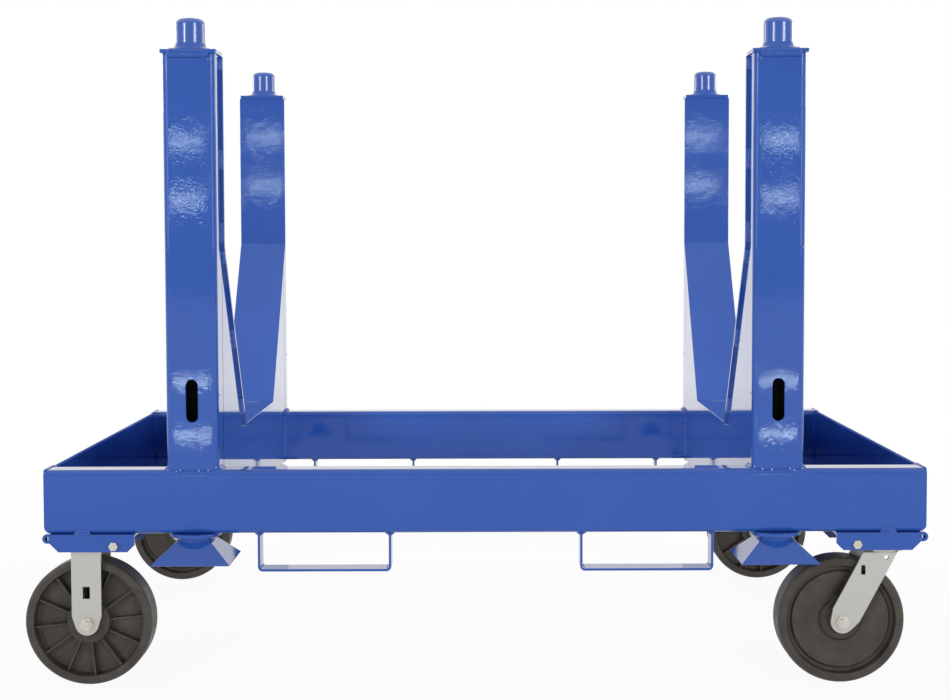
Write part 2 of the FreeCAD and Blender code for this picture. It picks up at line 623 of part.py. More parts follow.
for side, j in SIDES:
    save(side + "_end_wall", mirrored(end_wall(), j, -1))
    save(side + "_floor_plate", mirrored(floor_plate(), j, -1))
    save(side + "_cradle", mirrored(cradle(), j, -1))
    save(side + "_inner_web", mirrored(web(POST_INNER_X, RAIL_BOTTOM), j, -1))
    save(side + "_outer_web", mirrored(web(POST_OUTER_X - PLATE, RAIL_BOTTOM + PLATE), j, -1))

for end, side, i, j in CORNERS:
    corner = end + "_" + side
    save(corner + "_post", mirrored(post(), j, i))
    save(corner + "_stack_pin", mirrored(stack_pin(), j, i))
    save(corner + "_fork_strap", mirrored(fork_strap(), j, i))
    save(corner + "_stack_seat", mirrored(stack_seat(), j, i))
    save(corner + "_funnel", mirrored(funnel(), j, i))
    save(corner + "_caster_pocket", mirrored(caster_pocket(), j, i))

save_at_corners("rail_end_caps", rail_end_cap())
save_at_corners("post_caps", post_cap())
save_at_corners("pocket_bolts", *pocket_bolt())
save_at_corners("pocket_sleeves", pocket_sleeve())
save("kingpins", *[mirrored(kingpin(), 1, i) for end, i in ENDS])

for end, i in ENDS:
    save(end + "_rigid_fork", mirrored(rigid_fork(), -1, i))
    save(end + "_rigid_axle", *[mirrored(solid, -1, i) for solid in axle(CASTER_X)])
    save(end + "_rigid_wheel", mirrored(wheel(CASTER_X, -1), -1, i))
    save(end + "_rigid_bearing", mirrored(bearing(CASTER_X), -1, i))
    save(end + "_swivel_plate", mirrored(swivel_plate(), 1, i))
    save(end + "_swivel_fork", mirrored(swivel_fork(), 1, i))
    save(end + "_swivel_axle", *[mirrored(solid, 1, i) for solid in axle(TRAIL_X)])
    save(end + "_swivel_wheel", mirrored(wheel(TRAIL_X, 1), 1, i))
    save(end + "_swivel_bearing", mirrored(bearing(TRAIL_X), 1, i))
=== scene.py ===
"""V-bottom material cart: finishes, weld runs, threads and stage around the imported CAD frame."""

import json
import math
import random

import bmesh
import bpy
from mathutils import Matrix, Vector


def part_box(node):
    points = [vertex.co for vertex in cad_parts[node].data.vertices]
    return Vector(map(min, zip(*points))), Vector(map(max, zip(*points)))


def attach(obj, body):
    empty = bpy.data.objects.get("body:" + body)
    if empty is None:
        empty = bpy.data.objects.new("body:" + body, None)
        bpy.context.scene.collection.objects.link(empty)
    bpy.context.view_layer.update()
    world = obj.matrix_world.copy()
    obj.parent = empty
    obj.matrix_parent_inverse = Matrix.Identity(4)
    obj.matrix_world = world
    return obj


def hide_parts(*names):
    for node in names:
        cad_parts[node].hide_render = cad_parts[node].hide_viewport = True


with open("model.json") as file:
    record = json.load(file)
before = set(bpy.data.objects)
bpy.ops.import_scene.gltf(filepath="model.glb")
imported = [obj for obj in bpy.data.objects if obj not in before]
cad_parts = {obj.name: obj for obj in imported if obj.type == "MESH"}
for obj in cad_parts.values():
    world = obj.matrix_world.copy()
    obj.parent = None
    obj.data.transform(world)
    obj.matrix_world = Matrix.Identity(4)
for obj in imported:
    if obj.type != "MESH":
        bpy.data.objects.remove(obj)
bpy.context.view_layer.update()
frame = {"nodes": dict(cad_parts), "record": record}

bl_info = {
    "name": "V-bottom material cart",
    "version": (1, 0, 0),
    "blender": (4, 5, 0),
    "location": "3D View > Sidebar > Cart",
    "description": "Dresses the cart's CAD frame with paint, plating, weld runs and threads",
    "category": "Object",
}

NODES = frame["nodes"]
BODIES = frame["record"]["behaviour"]["bodies"]
BODY_OF = {node: body for body, nodes in BODIES.items() for node in nodes}
SLOT_OF = {row["node"]: row["material_slot"] for row in frame["record"]["subparts"]}
ENDS = ("front", "rear")
SIDES = ("left", "right")
CASTERS = ("rigid", "swivel")
CORNERS = [f"{end}_{side}" for end in ENDS for side in SIDES]
REAR_CORNERS = CORNERS[2:]
MIDDLE_X = (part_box("front_rail")[0].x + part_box("front_rail")[1].x) / 2

# Plate thickness and the cradle's bend lines, as the part's source has them
PLATE = 0.0064
CRADLE_BEND_Y = 0.4000
CRADLE_FLAT_Y = 0.1810

# Clean-up of copied CAD meshes, and the angles from which an edge is rounded
MERGE_DISTANCE = 0.00001
FLAT_DEGREES = 0.6
PLATE_DEGREES = 40
BOLT_DEGREES = 25

# A face looks up when its normal's Z is above this
FACES_UP = 0.9

# Weld runs: share of the width left in the dips and at the ends, and unevenness
RIPPLE_DIP = 0.86
RUN_NECK = 0.8
RUN_TIP = 0.45
RUN_UNEVEN = 0.22
RING_DIP = 0.98
RING_UNEVEN = 0.4

# Depth of the finest relief in the finishes
PEEL_DEPTH = 0.0003
GRAIN_DEPTH = 0.0002


class CartSizes(bpy.types.PropertyGroup):
    """Small shapes that the finished cart has beyond its CAD frame."""

    plate_edge: bpy.props.FloatProperty(
        name="Plate edge", description="Rounding of the cut edges of painted plates and tubes",
        default=0.0010, min=0.0001, max=0.003, unit="LENGTH", precision=4)
    zinc_edge: bpy.props.FloatProperty(
        name="Zinc edge", description="Rounding of the edges of the plated caster parts",
        default=0.0007, min=0.0001, max=0.002, unit="LENGTH", precision=4)
    wall_edge: bpy.props.FloatProperty(
        name="Wall edge", description="Rounding of the sheared edges of the end walls",
        default=0.0029, min=0.0001, max=0.0031, unit="LENGTH", precision=4)
    ripple: bpy.props.FloatProperty(
        name="Weld ripple", description="Pitch of the ripples along a weld run",
        default=0.0024, min=0.001, max=0.006, unit="LENGTH", precision=4)
    spatter: bpy.props.FloatProperty(
        name="Spatter", description="Largest radius of the spatter beside the welds",
        default=0.0013, min=0.0002, max=0.003, unit="LENGTH", precision=4)


class CartFinish(bpy.types.PropertyGroup):
    """Colours of the paint, the plating, the bare steel (painted near black as shade in the posts'
    bore) and the wheels.
    """

    paint_colour: bpy.props.FloatVectorProperty(
        name="Paint", description="Enamel on the frame, posts, cradles and pockets",
        subtype="COLOR", size=3, min=0, max=1, default=(0.026, 0.092, 0.40))
    paint_deep: bpy.props.FloatVectorProperty(
        name="Paint, thick", description="Enamel where it lies a little thicker",
        subtype="COLOR", size=3, min=0, max=1, default=(0.022, 0.083, 0.37))
    zinc_colour: bpy.props.FloatVectorProperty(
        name="Zinc", description="Plating on forks and caster plates, and on dull spots of bolts",
        subtype="COLOR", size=3, min=0, max=1, default=(0.74, 0.70, 0.62))
    zinc_bloom: bpy.props.FloatVectorProperty(
        name="Zinc, dull", description="Duller patches on forks and caster plates",
        subtype="COLOR", size=3, min=0, max=1, default=(0.52, 0.51, 0.46))
    bolt_colour: bpy.props.FloatVectorProperty(
        name="Bolts", description="Bright plating of bolts and nuts",
        subtype="COLOR", size=3, min=0, max=1, default=(0.80, 0.77, 0.70))
    # The bore's mill scale and its rusty flecks are both painted near black: painted shade for the
    # inside of the closed post tube
    scale_and_shade_colour: bpy.props.FloatVectorProperty(
        name="Mill scale", description="Bare bore of the posts",
        subtype="COLOR", size=3, min=0, max=1, default=(0.006, 0.006, 0.007))
    rust_and_shade_colour: bpy.props.FloatVectorProperty(
        name="Mill scale, rusty", description="Rusty flecks in the bore of the posts",
        subtype="COLOR", size=3, min=0, max=1, default=(0.012, 0.008, 0.006))
    plastic_colour: bpy.props.FloatVectorProperty(
        name="Wheel", description="Moulded wheel plastic",
        subtype="COLOR", size=3, min=0, max=1, default=(0.033, 0.027, 0.021))
    plastic_bloom: bpy.props.FloatVectorProperty(
        name="Wheel, cloudy", description="Paler clouds in the moulded plastic",
        subtype="COLOR", size=3, min=0, max=1, default=(0.058, 0.050, 0.041))
    scuff_colour: bpy.props.FloatVectorProperty(
        name="Wheel, scuffed", description="Tread where it has rolled",
        subtype="COLOR", size=3, min=0, max=1, default=(0.085, 0.077, 0.068))


class CartStage(bpy.types.PropertyGroup):
    """Floor and light."""

    floor_size: bpy.props.FloatProperty(
        name="Floor", description="Side of the floor",
        default=40.0, min=4.0, unit="LENGTH")
    ambient: bpy.props.FloatProperty(
        name="Ambient", description="Strength of the white surroundings as a light",
        default=0.16, min=0, max=1)
    key_power: bpy.props.FloatProperty(
        name="Keys", description="Power of each of the two far soft boxes in front",
        default=1700.0, min=0, unit="POWER")
    fill_power: bpy.props.FloatProperty(
        name="Fill", description="Power of the small soft box over the open middle bay",
        default=0.38, min=0, unit="POWER")
    strip_power: bpy.props.FloatProperty(
        name="Strips", description="Power of each short strip light beside the camera",
        default=6.2, min=0, unit="POWER")
    panel_power: bpy.props.FloatProperty(
        name="Panels", description="Power of each wide panel beside the camera",
        default=23.0, min=0, unit="POWER")
    top_power: bpy.props.FloatProperty(
        name="Top", description="Power of the soft box above",
        default=30.0, min=0, unit="POWER")
    side_power: bpy.props.FloatProperty(
        name="Sides", description="Power of each of the two far soft boxes at the ends",
        default=700.0, min=0, unit="POWER")
    rear_strip_power: bpy.props.FloatProperty(
        name="Rear strips", description="Power of each strip light behind the cart's ends",
        default=5.0, min=0, unit="POWER")
    back_power: bpy.props.FloatProperty(
        name="Back", description="Power of the soft box behind the cart",
        default=105.0, min=0, unit="POWER")
    tube_glow: bpy.props.FloatProperty(
        name="Tubes", description="Glow of the light tubes that draw the gloss patches",
        default=13.0, min=0)
    tube_colour: bpy.props.FloatVectorProperty(
        name="Tube colour", description="Colour of the light tubes",
        subtype="COLOR", size=3, min=0, max=1, default=(0.76, 0.95, 1.0))


def sizes():
    """The settings for small shapes."""
    return bpy.context.scene.cart_sizes


def finish():
    """The settings for colours."""
    return bpy.context.scene.cart_finish


def stage():
    """The settings for floor and light."""
    return bpy.context.scene.cart_stage


def deselect():
    """Object mode with nothing selected."""
    if bpy.context.object and bpy.context.object.mode != "OBJECT":
        bpy.ops.object.mode_set(mode="OBJECT")
    bpy.ops.object.select_all(action="DESELECT")


def activate(piece):
    """Selects this piece alone."""
    deselect()
    piece.select_set(True)
    bpy.context.view_layer.objects.active = piece


def apply_modifier(piece, kind, **values):
    """Adds a modifier with these values and applies it."""
    activate(piece)
    bpy.ops.object.modifier_add(type=kind)
    modifier = piece.modifiers[-1]
    for key, value in values.items():
        setattr(modifier, key, value)
    bpy.ops.object.modifier_apply(modifier=modifier.name)


def smooth(piece, degrees=35):
    """Shades smooth across edges flatter than this angle."""
    activate(piece)
    bpy.ops.object.shade_smooth_by_angle(angle=math.radians(degrees))


def place(piece, body, slot, material, *replaced):
    """Gives a finished piece its material and body, and hides the nodes it stands for; the slot
    argument is not used.
    """
    piece.data.materials.clear()
    piece.data.materials.append(material)
    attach(piece, body)
    if replaced:
        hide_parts(*replaced)
    return piece


def soften(node, width, material, degrees=PLATE_DEGREES):
    """Copies a CAD node, merges it to clean faces and rounds its sharp edges."""
    if node not in NODES:
        raise RuntimeError(f"the packed frame has no {node}")
    mesh = NODES[node].data.copy()
    piece = bpy.data.objects.new(f"{node}_finished", mesh)
    bpy.context.collection.objects.link(piece)
    activate(piece)
    bpy.ops.mesh.customdata_custom_splitnormals_clear()
    bpy.ops.object.mode_set(mode="EDIT")
    bpy.ops.mesh.select_mode(type="EDGE")
    bpy.ops.mesh.select_all(action="SELECT")
    bpy.ops.mesh.mark_sharp(clear=True)
    bpy.ops.mesh.remove_doubles(threshold=MERGE_DISTANCE)
    bpy.ops.mesh.dissolve_limited(angle_limit=math.radians(FLAT_DEGREES))
    bpy.ops.mesh.vert_connect_concave()
    bpy.ops.object.mode_set(mode="OBJECT")
    apply_modifier(piece, "BEVEL", width=width, segments=2, limit_method="ANGLE",
                   angle_limit=math.radians(degrees), harden_normals=False, use_clamp_overlap=True,
                   face_strength_mode="FSTR_ALL")
    smooth(piece)
    apply_modifier(piece, "WEIGHTED_NORMAL", mode="FACE_AREA", weight=100, keep_sharp=True,
                   use_face_influence=True)
    return place(piece, BODY_OF[node], SLOT_OF[node], material, node)


def repaint(piece, material, test):
    """Gives the faces of a finished piece that pass the test a second material."""
    piece.data.materials.append(material)
    activate(piece)
    bpy.ops.object.mode_set(mode="EDIT")
    pick(piece, "FACE", test)
    piece.active_material_index = len(piece.data.materials) - 1
    bpy.ops.object.material_slot_assign()
    bpy.ops.object.mode_set(mode="OBJECT")


def dress(node, material):
    """Keeps a CAD node as it is, with a better material."""
    for slot in NODES[node].material_slots:
        slot.material = material


def pick(piece, kind, test):
    """In edit mode, selects what passes a test of its centre and its normal (an edge: its run)."""
    bpy.ops.mesh.select_mode(type=kind)
    bpy.ops.mesh.select_all(action="DESELECT")
    shape = bmesh.from_edit_mesh(piece.data)
    parts = {"VERT": shape.verts, "EDGE": shape.edges, "FACE": shape.faces}[kind]
    chosen = 0
    for part in parts:
        if kind == "VERT":
            centre, normal = part.co, part.normal
        elif kind == "EDGE":
            centre = (part.verts[0].co + part.verts[1].co) / 2
            normal = part.verts[1].co - part.verts[0].co
        else:
            centre, normal = part.calc_center_median(), part.normal
        if test(centre, normal):
            part.select_set(True)
            chosen += 1
    shape.select_flush_mode()
    bmesh.update_edit_mesh(piece.data)
    if not chosen:
        raise RuntimeError(f"nothing to select on {piece.name}")


def stretch(factors, centre=(0, 0, 0)):
    """Resizes what is selected about a centre."""
    bpy.ops.transform.resize(value=factors, center_override=centre)


def settle(piece):
    """Puts an object's place, turn and scale into its mesh."""
    activate(piece)
    bpy.ops.object.transform_apply(location=True, rotation=True, scale=True)


def close_up(piece):
    """Merges doubles and turns all faces outwards."""
    activate(piece)
    bpy.ops.object.mode_set(mode="EDIT")
    bpy.ops.mesh.select_all(action="SELECT")
    bpy.ops.mesh.remove_doubles(threshold=MERGE_DISTANCE)
    bpy.ops.mesh.normals_make_consistent(inside=False)
    bpy.ops.object.mode_set(mode="OBJECT")


def join(name, pieces):
    """Makes one piece of several."""
    deselect()
    for piece in pieces:
        piece.select_set(True)
    bpy.context.view_layer.objects.active = pieces[0]
    if len(pieces) > 1:
        bpy.ops.object.join()
    pieces[0].name = pieces[0].data.name = name
    return pieces[0]


def reflect(piece, name, plane_x=None, across_y=False):
    """A copy with its own mesh, mirrored across the plane X = plane_x, across Y = 0, or both."""
    activate(piece)
    bpy.ops.object.duplicate(linked=False)
    copy = bpy.context.object
    copy.name = copy.data.name = name
    if plane_x is not None:
        copy.scale.x = -1
        copy.location.x = 2 * plane_x
    if across_y:
        copy.scale.y = -1
    settle(copy)
    close_up(copy)
    return copy


def to_corners(piece, kind, material, corners=CORNERS):
    """Takes the piece made at the front left corner to all the corners named."""
    for corner in corners:
        plane = MIDDLE_X if "right" in corner else None
        copy = reflect(piece, f"{corner}_{kind}", plane, "rear" in corner)
        place(copy, "cart", "blue_paint", material)
    bpy.data.meshes.remove(piece.data)


def bead(start, end, out, reach, spread, seed, sides=10):
    """A weld run: a rod cut into ripples, thin at its ends, that stands out by its reach."""
    start, end = Vector(start), Vector(end)
    length = (end - start).length
    along = (end - start) / length
    out = Vector(out)
    out = (out - along * out.dot(along)).normalized()
    cuts = 2 * max(1, round(length / sizes().ripple / 2)) + 1
    step = length / (cuts + 1)
    deselect()
    bpy.ops.mesh.primitive_cylinder_add(vertices=sides, radius=1.0, depth=length)
    rod = bpy.context.object
    bpy.ops.object.mode_set(mode="EDIT")
    pick(rod, "EDGE", lambda spot, way: abs(spot.z) < step / 4)
    bpy.ops.mesh.subdivide(number_cuts=cuts)
    pick(rod, "VERT", lambda spot, way: round(spot.z / step + (cuts + 1) / 2) % 2 == 0)
    stretch((RIPPLE_DIP, RIPPLE_DIP, 1))
    pick(rod, "VERT", lambda spot, way: abs(spot.z) > length / 2 - step * 5 / 4)
    stretch((RUN_NECK, RUN_NECK, 1))
    pick(rod, "VERT", lambda spot, way: abs(spot.z) > length / 2 - step / 4)
    stretch((RUN_TIP, RUN_TIP, 1))
    bpy.ops.mesh.select_all(action="SELECT")
    stretch((reach, spread, 1))
    bpy.ops.transform.vertex_random(offset=min(reach, spread) * RUN_UNEVEN, seed=seed)
    bpy.ops.object.mode_set(mode="OBJECT")
    rod.rotation_euler = Matrix((out, along.cross(out), along)).transposed().to_euler()
    rod.location = (start + end) / 2
    settle(rod)
    bpy.ops.object.shade_smooth()
    return rod


def ring_bead(centre, radius, thickness, seed, ripples=30):
    """A weld run round a pipe: a ring whose alternate cuts are drawn in."""
    deselect()
    bpy.ops.mesh.primitive_torus_add(location=centre, major_segments=2 * ripples, minor_segments=8,
                                     major_radius=radius, minor_radius=thickness)
    ring = bpy.context.object
    settle(ring)
    bpy.ops.object.mode_set(mode="EDIT")
    turn = math.pi / ripples

    def alternate(spot, way):
        angle = math.atan2(spot.y - centre[1], spot.x - centre[0])
        return round(angle / turn) % 2 == 0

    pick(ring, "VERT", alternate)
    stretch((RING_DIP, RING_DIP, 1), centre)
    bpy.ops.mesh.select_all(action="SELECT")
    bpy.ops.transform.vertex_random(offset=thickness * RING_UNEVEN, seed=seed)
    bpy.ops.object.mode_set(mode="OBJECT")
    bpy.ops.object.shade_smooth()
    return ring


def new_group(name, inputs, outputs):
    """An empty shader node group with these sockets, and its input and output nodes."""
    group = bpy.data.node_groups.new(name, "ShaderNodeTree")
    for socket, kind, value in inputs:
        made = group.interface.new_socket(socket, in_out="INPUT", socket_type=kind)
        if value is not None:
            made.default_value = value
    for socket, kind in outputs:
        group.interface.new_socket(socket, in_out="OUTPUT", socket_type=kind)
    return group, group.nodes.new("NodeGroupInput"), group.nodes.new("NodeGroupOutput")


def noise(tree, vector, scale, detail=2.0, roughness=0.5):
    """A noise texture; scale is a number or a socket."""
    node = tree.nodes.new("ShaderNodeTexNoise")
    node.inputs["Detail"].default_value = detail
    node.inputs["Roughness"].default_value = roughness
    tree.links.new(vector, node.inputs["Vector"])
    if isinstance(scale, (int, float)):
        node.inputs["Scale"].default_value = scale
    else:
        tree.links.new(scale, node.inputs["Scale"])
    return node.outputs["Fac"]


def remap(tree, value, low, high, to_low=0.0, to_high=1.0):
    """Brings a value from one range to another."""
    node = tree.nodes.new("ShaderNodeMapRange")
    sockets = ("From Min", "From Max", "To Min", "To Max")
    for socket, number in zip(sockets, (low, high, to_low, to_high)):
        node.inputs[socket].default_value = number
    tree.links.new(value, node.inputs["Value"])
    return node.outputs["Result"]


def math_node(tree, operation, first, second):
    """One step of arithmetic; each value is a number or a socket."""
    node = tree.nodes.new("ShaderNodeMath")
    node.operation = operation
    for socket, value in zip(node.inputs, (first, second)):
        if isinstance(value, (int, float)):
            socket.default_value = value
        else:
            tree.links.new(value, socket)
    return node.outputs[0]


def mix_colour(tree, share, first, second):
    """Two colours mixed by a share; each is a colour or a socket."""
    node = tree.nodes.new("ShaderNodeMix")
    node.data_type = "RGBA"
    tree.links.new(share, node.inputs[0])
    for socket, value in zip(node.inputs[6:8], (first, second)):
        if hasattr(value, "is_linked"):
            tree.links.new(value, socket)
        else:
            socket.default_value = (*value, 1.0)
    return node.outputs[2]


def enamel_group():
    """Orange peel and faint cloudiness of a sprayed enamel."""
    group, given, out = new_group(
        "sprayed_enamel",
        [("Place", "NodeSocketVector", None), ("Peel Scale", "NodeSocketFloat", 300.0),
         ("Cloud Scale", "NodeSocketFloat", 7.0)],
        [("Height", "NodeSocketFloat"), ("Cloud", "NodeSocketFloat")])
    peel = noise(group, given.outputs["Place"], given.outputs["Peel Scale"], detail=1.0)
    wave_scale = math_node(group, "MULTIPLY", given.outputs["Peel Scale"], 0.2)
    wave = noise(group, given.outputs["Place"], wave_scale, detail=1.0)
    height = math_node(group, "ADD", peel, math_node(group, "MULTIPLY", wave, 2.0))
    group.links.new(height, out.inputs["Height"])
    cloud = noise(group, given.outputs["Place"], given.outputs["Cloud Scale"],
                  detail=3.0, roughness=0.55)
    group.links.new(remap(group, cloud, 0.3, 0.7), out.inputs["Cloud"])
    return group


def plating_group():
    """Rolled streaks and dull bloom of zinc plated sheet."""
    group, given, out = new_group(
        "zinc_plating",
        [("Place", "NodeSocketVector", None), ("Streak Scale", "NodeSocketFloat", 120.0)],
        [("Bloom", "NodeSocketFloat"), ("Streak", "NodeSocketFloat"),
         ("Height", "NodeSocketFloat")])
    rolled = group.nodes.new("ShaderNodeMapping")
    rolled.inputs["Scale"].default_value = (1.0, 1.0, 0.06)
    group.links.new(given.outputs["Place"], rolled.inputs["Vector"])
    streak = noise(group, rolled.outputs["Vector"], given.outputs["Streak Scale"],
                   detail=3.0, roughness=0.6)
    bloom = noise(group, given.outputs["Place"], scale=22.0, detail=4.0, roughness=0.6)
    grain = noise(group, given.outputs["Place"], scale=420.0)
    group.links.new(remap(group, bloom, 0.35, 0.7), out.inputs["Bloom"])
    group.links.new(remap(group, streak, 0.3, 0.7), out.inputs["Streak"])
    lines = math_node(group, "MULTIPLY", streak, 0.5)
    specks = math_node(group, "MULTIPLY", grain, 0.5)
    group.links.new(math_node(group, "ADD", lines, specks), out.inputs["Height"])
    return group


def moulding_group():
    """Moulded grain of the wheels, with the tread's scuffs by distance from the axle."""
    group, given, out = new_group(
        "moulded_wheel",
        [("From Axle", "NodeSocketVector", None), ("Tread Radius", "NodeSocketFloat", 0.097)],
        [("Grain", "NodeSocketFloat"), ("Scuff", "NodeSocketFloat"), ("Flow", "NodeSocketFloat")])
    flat = group.nodes.new("ShaderNodeVectorMath")
    flat.operation = "MULTIPLY"
    flat.inputs[1].default_value = (1.0, 0.0, 1.0)
    group.links.new(given.outputs["From Axle"], flat.inputs[0])
    length = group.nodes.new("ShaderNodeVectorMath")
    length.operation = "LENGTH"
    group.links.new(flat.outputs["Vector"], length.inputs[0])
    past = math_node(group, "SUBTRACT", length.outputs["Value"], given.outputs["Tread Radius"])
    tread = remap(group, past, 0.0, 0.0025)
    worn = noise(group, given.outputs["From Axle"], scale=60.0, detail=5.0, roughness=0.65)
    patch = remap(group, worn, 0.4, 0.68)
    group.links.new(math_node(group, "MULTIPLY", tread, patch), out.inputs["Scuff"])
    grain = noise(group, given.outputs["From Axle"], scale=900.0)
    group.links.new(grain, out.inputs["Grain"])
    flow = noise(group, given.outputs["From Axle"], scale=26.0, detail=4.0, roughness=0.6)
    group.links.new(remap(group, flow, 0.38, 0.66), out.inputs["Flow"])
    return group


def new_material(name):
    """A material with an empty Principled shader, its tree and its Object coordinates."""
    material = bpy.data.materials.new(name)
    material.use_nodes = True
    tree = material.node_tree
    shader = next(n for n in tree.nodes if n.type == "BSDF_PRINCIPLED")
    where = tree.nodes.new("ShaderNodeTexCoord").outputs["Object"]
    return material, tree, shader, where


def use_group(tree, group, **links):
    """Places a node group; each link has its socket's name, with _ for a space."""
    node = tree.nodes.new("ShaderNodeGroup")
    node.node_tree = group
    for name, source in links.items():
        tree.links.new(source, node.inputs[name.replace("_", " ")])
    return node


def bump(tree, shader, height, strength, distance):
    """Relief of this height on a shader's normal."""
    node = tree.nodes.new("ShaderNodeBump")
    node.inputs["Strength"].default_value = strength
    node.inputs["Distance"].default_value = distance
    tree.links.new(height, node.inputs["Height"])
    tree.links.new(node.outputs["Normal"], shader.inputs["Normal"])


def enamel(name, peel, rough, coat, gloss):
    """Blue enamel with this orange peel, roughness, coat and gloss (IOR of paint and of coat)."""
    if name in bpy.data.materials:
        return bpy.data.materials[name]
    material, tree, shader, where = new_material(name)
    group = bpy.data.node_groups.get("sprayed_enamel") or enamel_group()
    spray = use_group(tree, group, Place=where)
    cloud = spray.outputs["Cloud"]
    colour = mix_colour(tree, cloud, finish().paint_colour, finish().paint_deep)
    tree.links.new(colour, shader.inputs["Base Color"])
    tree.links.new(remap(tree, cloud, 0, 1, *rough), shader.inputs["Roughness"])
    shader.inputs["IOR"].default_value = gloss[0]
    shader.inputs["Coat Weight"].default_value = coat
    shader.inputs["Coat IOR"].default_value = gloss[1]
    shader.inputs["Coat Roughness"].default_value = 0.04
    bump(tree, shader, spray.outputs["Height"], peel, PEEL_DEPTH)
    return material


def blue_enamel():
    """Glossy enamel with orange peel, on tubes, plates and weld runs."""
    return enamel("blue_enamel", peel=0.11, rough=(0.015, 0.03), coat=1.0, gloss=(1.4, 1.2))


def pin_enamel():
    """Enamel that has levelled out, on the turned pins and the spatter."""
    return enamel("pin_enamel", peel=0.02, rough=(0.04, 0.06), coat=1.0, gloss=(1.5, 1.5))


def sheared_enamel():
    """Enamel that stays dull on a sheared edge."""
    return enamel("sheared_enamel", peel=0.5, rough=(0.55, 0.7), coat=0.0, gloss=(1.3, 1.3))


def mill_scale():
    """Unpainted steel inside the posts with rolling scale, coloured near black as painted shade for
    the inside of the tube.
    """
    if "mill_scale" in bpy.data.materials:
        return bpy.data.materials["mill_scale"]
    material, tree, shader, where = new_material("mill_scale")
    flake = remap(tree, noise(tree, where, scale=90.0, detail=4.0, roughness=0.6), 0.35, 0.7)
    # Painted shade: both colours are near black to stand for the shade inside the tube, over the
    # real scale and rust
    colour = mix_colour(tree, flake, finish().scale_and_shade_colour, finish().rust_and_shade_colour)
    tree.links.new(colour, shader.inputs["Base Color"])
    tree.links.new(remap(tree, flake, 0, 1, 0.75, 0.9), shader.inputs["Roughness"])
    return material


def plated(name, colour, dull, rough):
    """Zinc plated steel of this colour, with dull patches and rolled streaks."""
    if name in bpy.data.materials:
        return bpy.data.materials[name]
    material, tree, shader, where = new_material(name)
    group = bpy.data.node_groups.get("zinc_plating") or plating_group()
    plating = use_group(tree, group, Place=where)
    patchy = mix_colour(tree, plating.outputs["Bloom"], colour, dull)
    tree.links.new(patchy, shader.inputs["Base Color"])
    streaky = remap(tree, plating.outputs["Streak"], 0, 1, *rough)
    tree.links.new(streaky, shader.inputs["Roughness"])
    shader.inputs["Metallic"].default_value = 1.0
    bump(tree, shader, plating.outputs["Height"], strength=0.25, distance=GRAIN_DEPTH)
    return material


def zinc_steel():
    """Plated sheet of the forks and caster plates."""
    return plated("zinc_steel", finish().zinc_colour, finish().zinc_bloom, rough=(0.26, 0.42))


def bright_zinc():
    """Plated bolts and nuts."""
    return plated("bright_zinc", finish().bolt_colour, finish().zinc_colour, rough=(0.12, 0.22))


def wheel_plastic(wheel):
    """Moulded plastic of one wheel; its pattern is centred on that wheel's axle."""
    material, tree, shader, where = new_material(f"wheel_plastic_{wheel}")
    low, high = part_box(wheel)
    centre = tree.nodes.new("ShaderNodeMapping")
    centre.inputs["Location"].default_value = -(low + high) / 2
    tree.links.new(where, centre.inputs["Vector"])
    group = bpy.data.node_groups.get("moulded_wheel") or moulding_group()
    mould = use_group(tree, group, From_Axle=centre.outputs["Vector"])
    cloudy = mix_colour(tree, mould.outputs["Flow"],
                        finish().plastic_colour, finish().plastic_bloom)
    colour = mix_colour(tree, mould.outputs["Scuff"], cloudy, finish().scuff_colour)
    tree.links.new(colour, shader.inputs["Base Color"])
    rough = math_node(tree, "ADD", remap(tree, mould.outputs["Flow"], 0, 1, 0.34, 0.46),
                      math_node(tree, "MULTIPLY", mould.outputs["Scuff"], 0.25))
    tree.links.new(rough, shader.inputs["Roughness"])
    bump(tree, shader, mould.outputs["Grain"], strength=0.25, distance=GRAIN_DEPTH)
    return material


class CART_OT_rails(bpy.types.Operator):
    """Rail tubes with rounded cut edges and their closing plates"""

    bl_idname = "cart.rails"
    bl_label = "Rails"

    def execute(self, context):
        for node in ("front_rail", "rear_rail", "rail_end_caps"):
            soften(node, sizes().plate_edge, blue_enamel())
        return {"FINISHED"}


class CART_OT_end_plates(bpy.types.Operator):
    """End walls and floor plates of the two end bays"""

    bl_idname = "cart.end_plates"
    bl_label = "End plates"

    TOP_FACING = 0.2

    def execute(self, context):
        for side in SIDES:
            wall = soften(f"{side}_end_wall", sizes().wall_edge, blue_enamel())
            repaint(wall, sheared_enamel(), lambda spot, way: way.z > self.TOP_FACING)
            soften(f"{side}_floor_plate", sizes().plate_edge, blue_enamel())
        return {"FINISHED"}


class CART_OT_cradles(bpy.types.Operator):
    """Bent cradles and the webs that carry them"""

    bl_idname = "cart.cradles"
    bl_label = "Cradles"

    def execute(self, context):
        for side in SIDES:
            for part in ("cradle", "inner_web", "outer_web"):
                soften(f"{side}_{part}", sizes().plate_edge, blue_enamel())
        return {"FINISHED"}


class CART_OT_posts(bpy.types.Operator):
    """Posts, their caps and the stacking pins"""

    bl_idname = "cart.posts"
    bl_label = "Posts"

    WALL = 0.0040

    def execute(self, context):
        for corner in CORNERS:
            self.bare_and_shaded_inside(soften(f"{corner}_post", sizes().plate_edge, blue_enamel()))
            dress(f"{corner}_stack_pin", pin_enamel())
        soften("post_caps", sizes().plate_edge, blue_enamel())
        return {"FINISHED"}

    def bare_and_shaded_inside(self, post):
        """The spray does not reach the bore of the tube, so it keeps its mill scale, coloured near
        black as painted shade for the closed tube.
        """
        corners = [Vector(corner) for corner in post.bound_box]
        centre = sum(corners, Vector()) / 8
        half = (corners[6] - corners[0]) / 2

        def inside(spot, way):
            return (abs(spot.x - centre.x) < half.x - self.WALL
                    and abs(spot.y - centre.y) < half.y - self.WALL)

        repaint(post, mill_scale(), inside)


